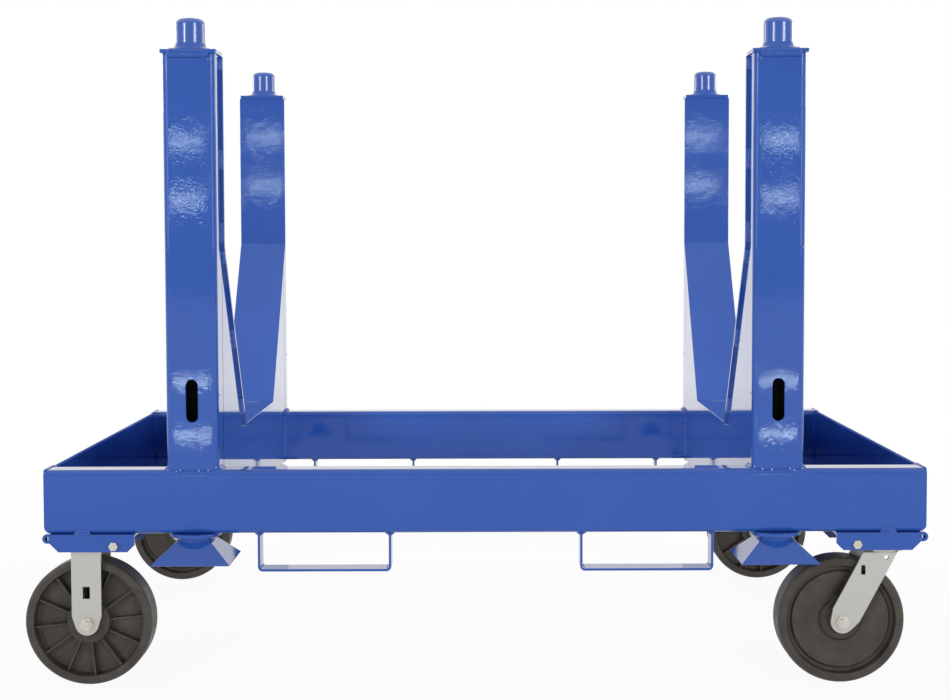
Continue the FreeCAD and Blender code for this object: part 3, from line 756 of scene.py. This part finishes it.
class CART_OT_under_frame(bpy.types.Operator):
    """Fork straps, stacking seats and funnels under the rails"""

    bl_idname = "cart.under_frame"
    bl_label = "Under frame"

    def execute(self, context):
        for corner in CORNERS:
            for part in ("fork_strap", "stack_seat", "funnel"):
                soften(f"{corner}_{part}", sizes().plate_edge, blue_enamel())
        return {"FINISHED"}


class CART_OT_pockets(bpy.types.Operator):
    """Caster pockets with their bolts and sleeves"""

    bl_idname = "cart.pockets"
    bl_label = "Caster pockets"

    def execute(self, context):
        for corner in CORNERS:
            soften(f"{corner}_caster_pocket", sizes().plate_edge, blue_enamel())
        soften("pocket_bolts", sizes().zinc_edge, bright_zinc(), BOLT_DEGREES)
        dress("pocket_sleeves", zinc_steel())
        return {"FINISHED"}


class CART_OT_forks(bpy.types.Operator):
    """Caster plates, forks, axles, bearing sleeves and kingpins"""

    bl_idname = "cart.forks"
    bl_label = "Forks"

    def execute(self, context):
        for end in ENDS:
            for part in ("rigid_fork", "swivel_fork", "swivel_plate"):
                soften(f"{end}_{part}", sizes().zinc_edge, zinc_steel())
            for kind in CASTERS:
                soften(f"{end}_{kind}_axle", sizes().zinc_edge, bright_zinc(), BOLT_DEGREES)
                dress(f"{end}_{kind}_bearing", zinc_steel())
        dress("kingpins", zinc_steel())
        return {"FINISHED"}


class CART_OT_wheels(bpy.types.Operator):
    """Moulded wheels"""

    bl_idname = "cart.wheels"
    bl_label = "Wheels"

    def execute(self, context):
        for end in ENDS:
            for kind in CASTERS:
                wheel = f"{end}_{kind}_wheel"
                dress(wheel, wheel_plastic(wheel))
        return {"FINISHED"}


class CART_OT_axle_threads(bpy.types.Operator):
    """Threaded ends of the axle bolts, past their nuts"""

    bl_idname = "cart.axle_threads"
    bl_label = "Axle threads"

    RADIUS = 0.0064
    LENGTH = 0.0029
    TURNS = 4
    FACETS = 28
    ROOT = 0.91
    TIP_INSET = 0.18
    SHADE_DEGREES = 30

    def execute(self, context):
        for end in ENDS:
            for kind in CASTERS:
                self.thread(f"{end}_{kind}_axle", -1 if end == "front" else 1)
        return {"FINISHED"}

    def thread(self, axle, way):
        """A short rod at the nut's end of an axle, with grooves round it and a dished tip."""
        low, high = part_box(axle)
        tip = high.y if way > 0 else low.y
        centre = Vector(((low.x + high.x) / 2, tip - way * self.LENGTH / 2, (low.z + high.z) / 2))
        deselect()
        bpy.ops.mesh.primitive_cylinder_add(vertices=self.FACETS, radius=self.RADIUS,
                                            depth=self.LENGTH)
        end = bpy.context.object
        end.name = end.data.name = f"{axle}_thread"
        bpy.ops.object.mode_set(mode="EDIT")
        cuts = 2 * self.TURNS + 1
        step = self.LENGTH / (cuts + 1)
        pick(end, "EDGE", lambda spot, run: abs(spot.z) < step / 4)
        bpy.ops.mesh.subdivide(number_cuts=cuts)
        pick(end, "VERT", lambda spot, run: round(spot.z / step + (cuts + 1) / 2) % 2 == 0)
        stretch((self.ROOT, self.ROOT, 1))
        pick(end, "FACE", lambda spot, run: run.z > FACES_UP)
        bpy.ops.mesh.inset(thickness=self.RADIUS * self.TIP_INSET)
        bpy.ops.transform.translate(value=(0, 0, -step / 2))
        bpy.ops.object.mode_set(mode="OBJECT")
        end.rotation_euler = (-way * math.pi / 2, 0, 0)
        end.location = centre
        settle(end)
        smooth(end, self.SHADE_DEGREES)
        place(end, BODY_OF[axle], "zinc_steel", bright_zinc())


class CART_OT_pin_collars(bpy.types.Operator):
    """Weld that flares out round the foot of each stacking pin and down over the cap's front"""

    bl_idname = "cart.pin_collars"
    bl_label = "Pin collars"

    # Half length, half depth and height above the pin's foot of each ring of the flare
    RINGS = ((0.0395, 0.0272, 0.0005), (0.0375, 0.0268, 0.0015), (0.0325, 0.0262, 0.0027),
             (0.0280, 0.0255, 0.0036), (0.0256, 0.0249, 0.0050), (0.0244, 0.0243, 0.0076),
             (0.0233, 0.0233, 0.0108))
    FACETS = 56
    UNEVEN_BELOW = 0.0050
    UNEVEN = 0.0005
    SHADE_DEGREES = 60
    # Reach and spread of the run over the cap's front, its insets, and where it lies
    FRONT_RUN = (0.0033, 0.0076)
    FRONT_INSETS = (0.007, 0.009)
    FRONT_PROUD = 0.0006
    FRONT_RISE = 0.0002

    def execute(self, context):
        low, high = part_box("front_left_stack_pin")
        centre = Vector(((low.x + high.x) / 2, (low.y + high.y) / 2, low.z))
        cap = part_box("post_caps")[0].z
        post_low, post_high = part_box("front_left_post")
        line = post_low.y - self.FRONT_PROUD, cap + self.FRONT_RISE
        fill = bead((post_low.x + self.FRONT_INSETS[0], *line),
                    (post_high.x - self.FRONT_INSETS[1], *line), (0, -1, 0),
                    *self.FRONT_RUN, seed=3)
        collar = join("pin_collar", [self.collar(centre), fill])
        to_corners(collar, "pin_collar", blue_enamel())
        return {"FINISHED"}

    def collar(self, centre):
        """A disc drawn up to the pin ring by ring."""
        wide, deep, rise = self.RINGS[0]
        deselect()
        bpy.ops.mesh.primitive_cylinder_add(vertices=self.FACETS, radius=wide, depth=2 * rise,
                                            location=centre)
        piece = bpy.context.object
        settle(piece)
        bpy.ops.object.mode_set(mode="EDIT")
        bpy.ops.mesh.select_all(action="SELECT")
        stretch((1, deep / wide, 1), centre)
        pick(piece, "FACE", lambda spot, way: way.z > FACES_UP)
        for next_wide, next_deep, next_rise in self.RINGS[1:]:
            lift = {"value": (0, 0, next_rise - rise)}
            bpy.ops.mesh.extrude_region_move(TRANSFORM_OT_translate=lift)
            stretch((next_wide / wide, next_deep / deep, 1), centre + Vector((0, 0, next_rise)))
            wide, deep, rise = next_wide, next_deep, next_rise
        pick(piece, "VERT", lambda spot, way: spot.z - centre.z < self.UNEVEN_BELOW)
        bpy.ops.transform.vertex_random(offset=self.UNEVEN, seed=11)
        bpy.ops.object.mode_set(mode="OBJECT")
        smooth(piece, self.SHADE_DEGREES)
        return piece


class CART_OT_post_welds(bpy.types.Operator):
    """Weld runs round the foot of each post"""

    bl_idname = "cart.post_welds"
    bl_label = "Post welds"

    # Reach and spread of each run, and where it lies from the corner of post and rail
    FRONT_RUN = (0.0040, 0.0062)
    FRONT_INSET = (0.0036, 0.0042)
    FRONT_OVERRUN = 0.002
    SIDE_RUN = (0.0054, 0.0088)
    SIDE_INSETS = (0.003, 0.010)
    SIDE_SINK = 0.001

    def execute(self, context):
        low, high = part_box("front_left_post")
        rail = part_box("front_rail")[1].z
        foot = low.y + self.FRONT_INSET[0], rail - self.FRONT_INSET[1]
        runs = [bead((low.x - self.FRONT_OVERRUN, *foot), (high.x + self.FRONT_OVERRUN, *foot),
                     (0, -1, 0.1), *self.FRONT_RUN, seed=21)]
        front, back = low.y + self.SIDE_INSETS[0], high.y - self.SIDE_INSETS[1]
        level = rail - self.SIDE_SINK
        for x, way in ((low.x, -1), (high.x, 1)):
            runs.append(bead((x, front, level), (x, back, level), (way, 0, 1),
                             *self.SIDE_RUN, seed=22 + way))
        to_corners(join("post_weld", runs), "post_weld", blue_enamel())
        return {"FINISHED"}


class CART_OT_cradle_stitches(bpy.types.Operator):
    """Short weld runs that hold the cradles to the posts and webs"""

    bl_idname = "cart.cradle_stitches"
    bl_label = "Cradle stitches"

    # Heights of the runs on the upright liner, and shares of the slope's length
    LINER_RUNS = ((0.981, 1.001), (0.823, 0.857), (0.707, 0.742))
    SLOPE_RUNS = ((0.08, 0.17), (0.47, 0.57), (0.93, 0.995))
    RUN = (0.0042, 0.0056)
    SLOPE_FACING = (1, -0.8, -0.6)
    # The runs lie this share of the plate's thickness outside the slope's bend lines
    SLOPE_OUT = 0.816
    # Thickness and width of the flush seam and its centre, from the post's corner; its edges are
    # rounded where they lie deeper than SEAM_HIDDEN
    SEAM_SIZE = (0.0044, 0.0125)
    SEAM_CENTRE = (0.0022, 0.00325)
    SEAM_HIDDEN = 0.0020
    SEAM_ROUNDING = 0.0012
    SEAM_DEGREES = 40

    def execute(self, context):
        low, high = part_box("front_left_post")
        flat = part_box("left_cradle")[0].z
        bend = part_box("left_inner_web")[1].z - PLATE
        runs = []
        for number, (bottom, top) in enumerate(self.LINER_RUNS):
            runs.append(bead((high.x, high.y, bottom), (high.x, high.y, top), (1, -1, 0),
                             *self.RUN, seed=31 + number))
        foot = Vector((high.x, -CRADLE_FLAT_Y - PLATE * self.SLOPE_OUT, flat))
        rise = Vector((high.x, -CRADLE_BEND_Y - PLATE * self.SLOPE_OUT, bend)) - foot
        for number, (first, last) in enumerate(self.SLOPE_RUNS):
            runs.append(bead(foot + rise * first, foot + rise * last, self.SLOPE_FACING,
                             *self.RUN, seed=41 + number))
        runs.append(self.seam(high, bend))
        inner = join("cradle_stitch", runs)
        outer = reflect(inner, "cradle_stitch_outer", (low.x + high.x) / 2)
        to_corners(join("cradle_stitch", [inner, outer]), "cradle_stitch", blue_enamel())
        return {"FINISHED"}

    def seam(self, corner, bend):
        """Long run ground flush between the rounded back corner of the post and the web."""
        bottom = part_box("front_rail")[1].z
        deselect()
        bpy.ops.mesh.primitive_cube_add(size=1.0)
        strip = bpy.context.object
        strip.scale = (*self.SEAM_SIZE, bend - bottom)
        strip.location = (corner.x - self.SEAM_CENTRE[0], corner.y - self.SEAM_CENTRE[1],
                          (bend + bottom) / 2)
        settle(strip)
        hidden = corner.x - self.SEAM_HIDDEN
        bpy.ops.object.mode_set(mode="EDIT")
        pick(strip, "EDGE", lambda spot, way: abs(way.z) > 0.1 and spot.x < hidden)
        bpy.ops.mesh.bevel(offset=self.SEAM_ROUNDING, segments=3, affect="EDGES")
        bpy.ops.object.mode_set(mode="OBJECT")
        smooth(strip, self.SEAM_DEGREES)
        return strip


class CART_OT_frame_welds(bpy.types.Operator):
    """Weld runs where end walls, rail ends and webs meet the rails"""

    bl_idname = "cart.frame_welds"
    bl_label = "Frame welds"

    # Reach and spread of each run, and where it starts, stops and lies
    WALL_RUN = (0.0042, 0.0062)
    WALL_STOP = 0.004
    WALL_TOP_RUN = (0.0034, 0.0056)
    WALL_TOP_SINK = 0.0015
    RAIL_END_RUN = (0.0024, 0.0040)
    RAIL_END_INSETS = (0.0010, 0.004, 0.0012)
    WEB_RUN = (0.0046, 0.0066)
    WEB_STOP = 0.006
    WEB_TOP_RUN = (0.0050, 0.0064)
    WEB_TOP_SINKS = (0.001, 0.0035)
    TOP_ENDS = (0.007, 0.009)

    def execute(self, context):
        rail_low, rail_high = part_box("front_rail")
        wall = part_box("left_end_wall")[1].x
        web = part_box("left_inner_web")[1].x
        inside, base, top = rail_high.y, rail_low.z + PLATE, rail_high.z
        before, after = self.TOP_ENDS
        crown, crown_top = wall - PLATE / 2, top - self.WALL_TOP_SINK
        inset_x, inset_y, inset_z = self.RAIL_END_INSETS
        rim, rim_top = rail_low.x + inset_x, top - inset_z
        runs = [
            bead((wall, inside, base), (wall, inside, top - self.WALL_STOP), (1, 1, 0),
                 *self.WALL_RUN, seed=51),
            bead((crown, inside - before, crown_top), (crown, inside + after, crown_top), (0, 0, 1),
                 *self.WALL_TOP_RUN, seed=52),
            bead((rim, rail_low.y + inset_y, rim_top), (rim, inside - inset_y, rim_top), (-1, 0, 1),
                 *self.RAIL_END_RUN, seed=53),
            bead((web, inside, base), (web, inside, top - self.WEB_STOP), (1, 1, 0),
                 *self.WEB_RUN, seed=54),
        ]
        line = inside - self.WEB_TOP_SINKS[0], top - self.WEB_TOP_SINKS[1]
        lump = bead((web - before, *line), (web + after, *line), (0, 0.5, 1),
                    *self.WEB_TOP_RUN, seed=55)
        to_corners(join("frame_weld", runs), "frame_weld", blue_enamel())
        to_corners(lump, "web_weld", blue_enamel(), REAR_CORNERS)
        return {"FINISHED"}


class CART_OT_under_welds(bpy.types.Operator):
    """Weld runs that hold pockets, fork straps and stacking seats under the rails"""

    bl_idname = "cart.under_welds"
    bl_label = "Under frame welds"

    # Reach and spread of each run, and where it starts, stops and lies
    POCKET_SPAN = (0.047, 0.073)
    FRONT_RUN = (0.0044, 0.0074)
    FRONT_INSET = 0.0010
    FRONT_RISE = 0.0015
    BACK_RUN = (0.0042, 0.0060)
    BACK_OVERRUNS = (0.02, 0.03)
    STRAP_RUN = (0.0066, 0.0056)
    STRAP_STEP = 0.004
    STRAP_INSET = 0.001
    STRAP_FACETS = 4
    # Radius and thickness of the ring round the seat's neck, and its height over the funnel
    NECK_RING = (0.0286, 0.0020)
    NECK_RISE = 0.0006

    def execute(self, context):
        rail_low, rail_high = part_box("front_rail")
        base, back = rail_low.z, rail_high.y
        start, end = (rail_low.x + along for along in self.POCKET_SPAN)
        line = rail_low.y + self.FRONT_INSET, base + self.FRONT_RISE
        before, after = self.BACK_OVERRUNS
        runs = [
            bead((start, *line), (end, *line), (0, -1, 0.2), *self.FRONT_RUN, seed=61),
            bead((start - before, back, base), (end + after, back, base), (0, 1, 1),
                 *self.BACK_RUN, seed=62),
        ]
        low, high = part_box("front_left_fork_strap")
        step, inset = self.STRAP_STEP, self.STRAP_INSET
        for number, x in enumerate((low.x, low.x + step, high.x - step, high.x)):
            runs.append(bead((x, low.y + inset, base), (x, high.y - inset, base), (1, 0, 0),
                             *self.STRAP_RUN, seed=63 + number, sides=self.STRAP_FACETS))
        seat_low, seat_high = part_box("front_left_stack_seat")
        neck = (seat_low.x + seat_high.x) / 2, (seat_low.y + seat_high.y) / 2
        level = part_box("front_left_funnel")[1].z + self.NECK_RISE
        runs.append(ring_bead((*neck, level), *self.NECK_RING, seed=71))
        to_corners(join("under_weld", runs), "under_weld", blue_enamel())
        return {"FINISHED"}


class CART_OT_spatter(bpy.types.Operator):
    """Drops of weld spatter under the paint of the posts"""

    bl_idname = "cart.spatter"
    bl_label = "Spatter"

    FRONT_DROPS = 10
    SIDE_DROPS = 2
    # Drops keep off the post's rounded corners, and gather at its foot and its top
    CORNER = 0.012
    BACK_CORNER = 0.010
    FOOT = (0.002, 0.03)
    TOP = (0.006, 0.03)
    DROP_UNEVEN = 0.2
    # Share of the post's width and height above its foot of each fleck
    FLECKS = ((0.03, 0.001), (0.19, -0.002), (0.27, 0.0), (0.62, -0.001), (0.80, 0.0),
              (0.95, 0.004), (0.05, 0.350), (0.88, 0.645), (0.93, 0.640), (0.05, 0.612))
    FLECK_WIDTH = 0.0027
    FLECK_FLATNESS = 0.16
    FLECK_PROUD = 0.0002
    FLECK_FACING = (-0.226, -0.953, 0.208)

    def execute(self, context):
        dice = random.Random(5)
        low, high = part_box("front_left_post")
        drops = []
        for _ in range(self.FRONT_DROPS):
            x = dice.uniform(low.x + self.CORNER, high.x - self.CORNER)
            z = dice.choice((low.z + dice.uniform(*self.FOOT), high.z - dice.uniform(*self.TOP)))
            drops.append(self.drop((x, low.y, z), dice))
        for _ in range(self.SIDE_DROPS):
            x = dice.choice((low.x, high.x))
            y = dice.uniform(low.y + self.CORNER, high.y - self.BACK_CORNER)
            z = dice.uniform(low.z, high.z)
            drops.append(self.drop((x, y, z), dice))
        for share, height in self.FLECKS:
            x = low.x + share * (high.x - low.x)
            drops.append(self.fleck((x, low.y - self.FLECK_PROUD, low.z + height), dice))
        to_corners(join("spatter", drops), "spatter", pin_enamel())
        return {"FINISHED"}

    def fleck(self, where, dice):
        """A shallow blob at the end of a weld ripple; its crown leans outwards and up."""
        width = self.FLECK_WIDTH * dice.uniform(0.7, 1.0)
        deselect()
        bpy.ops.mesh.primitive_uv_sphere_add(segments=16, ring_count=10, radius=1.0)
        fleck = bpy.context.object
        bpy.ops.object.mode_set(mode="EDIT")
        bpy.ops.mesh.select_all(action="SELECT")
        stretch((width, width, width * self.FLECK_FLATNESS))
        bpy.ops.object.mode_set(mode="OBJECT")
        fleck.rotation_euler = Vector(self.FLECK_FACING).to_track_quat("Z", "Y").to_euler()
        fleck.location = where
        settle(fleck)
        bpy.ops.object.shade_smooth()
        return fleck

    def drop(self, where, dice):
        """A small uneven ball, half sunk in the post."""
        size = sizes().spatter * dice.uniform(0.5, 1.0)
        deselect()
        bpy.ops.mesh.primitive_ico_sphere_add(subdivisions=2, radius=size, location=where)
        drop = bpy.context.object
        settle(drop)
        bpy.ops.object.mode_set(mode="EDIT")
        bpy.ops.mesh.select_all(action="SELECT")
        stretch((1.0, 1.0, dice.uniform(0.8, 1.3)), where)
        bpy.ops.transform.vertex_random(offset=size * self.DROP_UNEVEN, seed=dice.randrange(1000))
        bpy.ops.object.mode_set(mode="OBJECT")
        bpy.ops.object.shade_smooth()
        return drop


class CART_OT_stage(bpy.types.Operator):
    """Pale floor, soft boxes, gloss lights, grey cards and the camera"""

    bl_idname = "cart.stage"
    bl_label = "Stage"

    IMAGE_SIZE = (950, 700)
    CAMERA_PLACE = (0.0177, -3.0482, 0.7191)
    CAMERA_PITCH = 0.05255
    CAMERA_YAW = 0.00351
    CAMERA_ROLL = 0.00223
    CAMERA_CLIP = (0.05, 100.0)
    FOCAL_PIXELS = 1649.8
    CENTRE_PIXEL = (490.4, 322.4)
    SENSOR = 36.0
    # The floor lies just under the wheels. Lift is the share of glow; painted shade is the glow that
    # reflections lose near the cart, a painted shadow of the cart: a near and a far distance from
    # the cart, and the values there
    FLOOR_DROP = 0.0005
    FLOOR_COLOUR = (0.94, 0.94, 0.94, 1)
    FLOOR_LIFT = (1.0, 2.4, 0.93, 1.0)
    FLOOR_PAINTED_SHADE = (2.0, 5.0, 0.25, 0.0)
    # Soft boxes: name, place, target, width and height, and the setting that holds the power
    SOFT_BOXES = (
        ("key_left", (-12.0, -16.0, 5.0), (0.0, 0.0, 0.5), (6.0, 4.0), "key_power"),
        ("side_left", (-15.0, 0.0, 5.0), (0.0, 0.0, 0.5), (6.0, 4.0), "side_power"),
        ("key_right", (12.0, -16.0, 5.0), (0.0, 0.0, 0.5), (6.0, 4.0), "key_power"),
        ("side_right", (15.0, 0.0, 5.0), (0.0, 0.0, 0.5), (6.0, 4.0), "side_power"),
        ("top", (0.0, 0.3, 4.2), (0.0, 0.0, 0.0), (3.5, 2.5), "top_power"),
        ("back", (0.6, 5.4, 2.4), (0.0, 0.0, 0.4), (4.0, 2.5), "back_power"),
        ("fill", (0.02, -0.25, 0.80), (0.02, 0.45, 0.28), (0.7, 0.1), "fill_power"),
    )
    FILL_SPREAD = 1.1
    # Strips and panels that only reflections see, with the same columns
    STRIPS = (
        ("strip_left", (-3.23, -4.13, 1.56), (-0.4, -0.4, 0.9), (0.5, 0.35), "strip_power"),
        ("panel_left", (-3.23, -4.13, 1.5), (-0.4, -0.4, 0.9), (2.4, 1.7), "panel_power"),
        ("rear_strip_left", (-3.1, 2.6, 1.5), (0.4, -0.4, 1.0), (0.35, 0.6), "rear_strip_power"),
        ("strip_right", (2.85, -3.70, 1.56), (0.4, -0.4, 0.9), (0.5, 0.35), "strip_power"),
        ("panel_right", (2.85, -3.70, 1.5), (0.4, -0.4, 0.9), (2.4, 1.7), "panel_power"),
        ("rear_strip_right", (3.1, 2.2, 1.5), (-0.4, -0.4, 1.0), (0.35, 0.6), "rear_strip_power"),
    )
    # Tubes: X and height of each near one; X, height, width and depth of each far pair
    NEAR_TUBES = ((-0.897, 0.264), (-0.897, 0.0975), (0.935, 0.264), (0.935, 0.0975))
    NEAR_TUBE_Y = -3.0
    NEAR_TUBE_SIZE = (0.16, 0.014)
    NEAR_TUBE_GAIN = 1.7
    FAR_TUBES = ((3.10, 1.70, 0.42, 0.11), (3.10, 1.10, 0.42, 0.12),
                 (2.46, 1.836, 0.42, 0.10), (2.46, 1.288, 0.42, 0.10))
    FAR_TUBE_Y = -15.0
    # Grey cards: name, place, turn about the upright, width and height
    GREY_CARDS = (
        ("grey_card_front", (0, -17.0, 6.0), 0, (44.0, 12.0)),
        ("grey_card_left", (-14.0, -7.5, 5.0), math.pi / 2, (19.0, 10.0)),
        ("grey_card_right", (14.0, -7.5, 5.0), math.pi / 2, (19.0, 10.0)),
    )
    GREY_CARD_GLOW = 0.5

    def execute(self, context):
        bpy.context.scene.view_settings.view_transform = "Standard"
        self.floor()
        self.surroundings()
        for name, where, target, size, power in self.SOFT_BOXES:
            self.soft_box(name, where, target, size, getattr(stage(), power))
        bpy.data.lights["fill"].spread = self.FILL_SPREAD
        for x, height in self.NEAR_TUBES:
            self.tube(f"tube_near_{x}_{height}", (x, self.NEAR_TUBE_Y, height),
                      self.NEAR_TUBE_SIZE, self.NEAR_TUBE_GAIN)
        for x, height, width, depth in self.FAR_TUBES:
            self.tube(f"tube_left_{height}", (-x, self.FAR_TUBE_Y, height), (width, depth))
            self.tube(f"tube_right_{height}", (x, self.FAR_TUBE_Y, height), (width, depth))
        for name, where, target, size, power in self.STRIPS:
            self.strip(name, where, target, size, getattr(stage(), power))
        for card in self.GREY_CARDS:
            self.grey_card(*card)
        self.camera()
        return {"FINISHED"}

    def tube(self, name, where, size, gain=1.0):
        """A strip that faces the cart squarely, given by its glow instead of its power."""
        power = stage().tube_glow * gain * math.pi * size[0] * size[1]
        self.strip(name, where, (where[0], 0.0, where[2]), size, power)
        bpy.data.lights[name].color = stage().tube_colour

    def strip(self, name, where, target, size, power):
        """A light that only reflections see."""
        box = self.soft_box(name, where, target, size, power)
        box.visible_diffuse = False
        box.visible_glossy = True

    def soft_box(self, name, where, target, size, power):
        """A light that neither the camera nor a reflection sees."""
        lamp = bpy.data.lights.new(name, "AREA")
        lamp.shape = "RECTANGLE"
        lamp.size, lamp.size_y = size
        lamp.energy = power
        box = bpy.data.objects.new(name, lamp)
        bpy.context.collection.objects.link(box)
        box.location = where
        box.visible_camera = False
        box.visible_glossy = False
        aim = Vector(target) - Vector(where)
        box.rotation_euler = aim.to_track_quat("-Z", "Y").to_euler()
        return box

    def blank_material(self, name):
        """A material with its output and no shader."""
        material = bpy.data.materials.new(name)
        material.use_nodes = True
        tree = material.node_tree
        tree.nodes.clear()
        out = tree.nodes.new("ShaderNodeOutputMaterial")
        return material, tree, out.inputs["Surface"]

    def grey_card(self, name, where, turn, size):
        """A grey card that only reflections see."""
        deselect()
        bpy.ops.mesh.primitive_plane_add(size=1.0, location=where, rotation=(math.pi / 2, 0, turn))
        card = bpy.context.object
        card.name = name
        card.scale = (*size, 1.0)
        settle(card)
        material, tree, surface = self.blank_material(name)
        glow = tree.nodes.new("ShaderNodeEmission")
        glow.inputs["Strength"].default_value = self.GREY_CARD_GLOW
        tree.links.new(glow.outputs[0], surface)
        card.data.materials.append(material)
        card.visible_camera = False
        card.visible_diffuse = False
        card.visible_shadow = False
        card.visible_transmission = False

    def floor(self):
        """White paper that glows when seen; near the cart it takes shadow, and reflections get
        painted shade.
        """
        deselect()
        bpy.ops.mesh.primitive_plane_add(size=stage().floor_size,
                                         location=(0, 0, -self.FLOOR_DROP))
        floor = bpy.context.object
        floor.name = "floor"
        settle(floor)
        material, tree, surface = self.blank_material("pale_floor")
        paper = tree.nodes.new("ShaderNodeBsdfDiffuse")
        paper.inputs["Color"].default_value = self.FLOOR_COLOUR
        glow = tree.nodes.new("ShaderNodeEmission")
        share = tree.nodes.new("ShaderNodeMixShader")
        away = tree.nodes.new("ShaderNodeVectorMath")
        away.operation = "LENGTH"
        tree.links.new(tree.nodes.new("ShaderNodeTexCoord").outputs["Object"], away.inputs[0])
        lift = remap(tree, away.outputs["Value"], *self.FLOOR_LIFT)
        mirrored = tree.nodes.new("ShaderNodeLightPath").outputs["Is Glossy Ray"]
        # Painted shade: reflections see the floor's glow dimmed near the cart, standing for the
        # cart's shadow on it
        shade = remap(tree, away.outputs["Value"], *self.FLOOR_PAINTED_SHADE)
        painted_dimming = math_node(tree, "MULTIPLY", mirrored, shade)
        tree.links.new(math_node(tree, "SUBTRACT", 1.0, painted_dimming), glow.inputs["Strength"])
        tree.links.new(math_node(tree, "MULTIPLY", self.seen_rays(tree), lift), share.inputs[0])
        tree.links.new(paper.outputs[0], share.inputs[1])
        tree.links.new(glow.outputs[0], share.inputs[2])
        tree.links.new(share.outputs[0], surface)
        floor.data.materials.append(material)

    def seen_rays(self, tree):
        """1 for rays that show the background: from the camera, in a mirror or through glass."""
        path = tree.nodes.new("ShaderNodeLightPath").outputs
        either = math_node(tree, "MAXIMUM", path["Is Camera Ray"], path["Is Glossy Ray"])
        return math_node(tree, "MAXIMUM", either, path["Is Transmission Ray"])

    def surroundings(self):
        """A world that shows white and lights faintly."""
        world = bpy.data.worlds.new("studio")
        bpy.context.scene.world = world
        world.use_nodes = True
        tree = world.node_tree
        background = next(n for n in tree.nodes if n.type == "BACKGROUND")
        background.inputs["Color"].default_value = (1, 1, 1, 1)
        strength = remap(tree, self.seen_rays(tree), 0, 1, stage().ambient, 1.0)
        tree.links.new(strength, background.inputs["Strength"])

    def camera(self):
        """The photo's view: a lens in pixels, with its centre off the middle of the picture."""
        width, height = self.IMAGE_SIZE
        lens = bpy.data.cameras.new("photo_camera")
        camera = bpy.data.objects.new("photo_camera", lens)
        bpy.context.collection.objects.link(camera)
        camera.location = self.CAMERA_PLACE
        camera.rotation_euler = (math.pi / 2 - self.CAMERA_PITCH, self.CAMERA_ROLL,
                                 -self.CAMERA_YAW)
        lens.sensor_width = self.SENSOR
        lens.lens = self.FOCAL_PIXELS * self.SENSOR / width
        lens.shift_x = (width / 2 - self.CENTRE_PIXEL[0]) / width
        lens.shift_y = (self.CENTRE_PIXEL[1] - height / 2) / width
        lens.clip_start, lens.clip_end = self.CAMERA_CLIP
        bpy.context.scene.camera = camera


class CART_PT_sidebar(bpy.types.Panel):
    """Lists the cart's settings and its steps"""

    bl_label = "Material cart"
    bl_space_type = "VIEW_3D"
    bl_region_type = "UI"
    bl_category = "Cart"

    def draw(self, context):
        scene = context.scene
        for group in (scene.cart_sizes, scene.cart_finish, scene.cart_stage):
            column = self.layout.column(align=True)
            for name in group.__annotations__:
                column.prop(group, name)
        column = self.layout.column(align=True)
        for step in STEPS:
            column.operator(step.bl_idname)


GROUPS = (CartSizes, CartFinish, CartStage)
STEPS = (CART_OT_rails, CART_OT_end_plates, CART_OT_cradles, CART_OT_posts, CART_OT_under_frame,
         CART_OT_pockets, CART_OT_forks, CART_OT_wheels, CART_OT_axle_threads, CART_OT_pin_collars,
         CART_OT_post_welds, CART_OT_cradle_stitches, CART_OT_frame_welds, CART_OT_under_welds,
         CART_OT_spatter, CART_OT_stage)


def register():
    """Makes the settings, steps and panel known to Blender."""
    for made in (*GROUPS, *STEPS, CART_PT_sidebar):
        bpy.utils.register_class(made)
    bpy.types.Scene.cart_sizes = bpy.props.PointerProperty(type=CartSizes)
    bpy.types.Scene.cart_finish = bpy.props.PointerProperty(type=CartFinish)
    bpy.types.Scene.cart_stage = bpy.props.PointerProperty(type=CartStage)


def unregister():
    """Takes them away again."""
    for name in ("cart_stage", "cart_finish", "cart_sizes"):
        delattr(bpy.types.Scene, name)
    for made in reversed((*GROUPS, *STEPS, CART_PT_sidebar)):
        bpy.utils.unregister_class(made)


def main():
    """Runs all steps in order."""
    register()
    for step in STEPS:
        getattr(bpy.ops.cart, step.bl_idname.split(".")[1])()


if __name__ == "__main__":
    main()
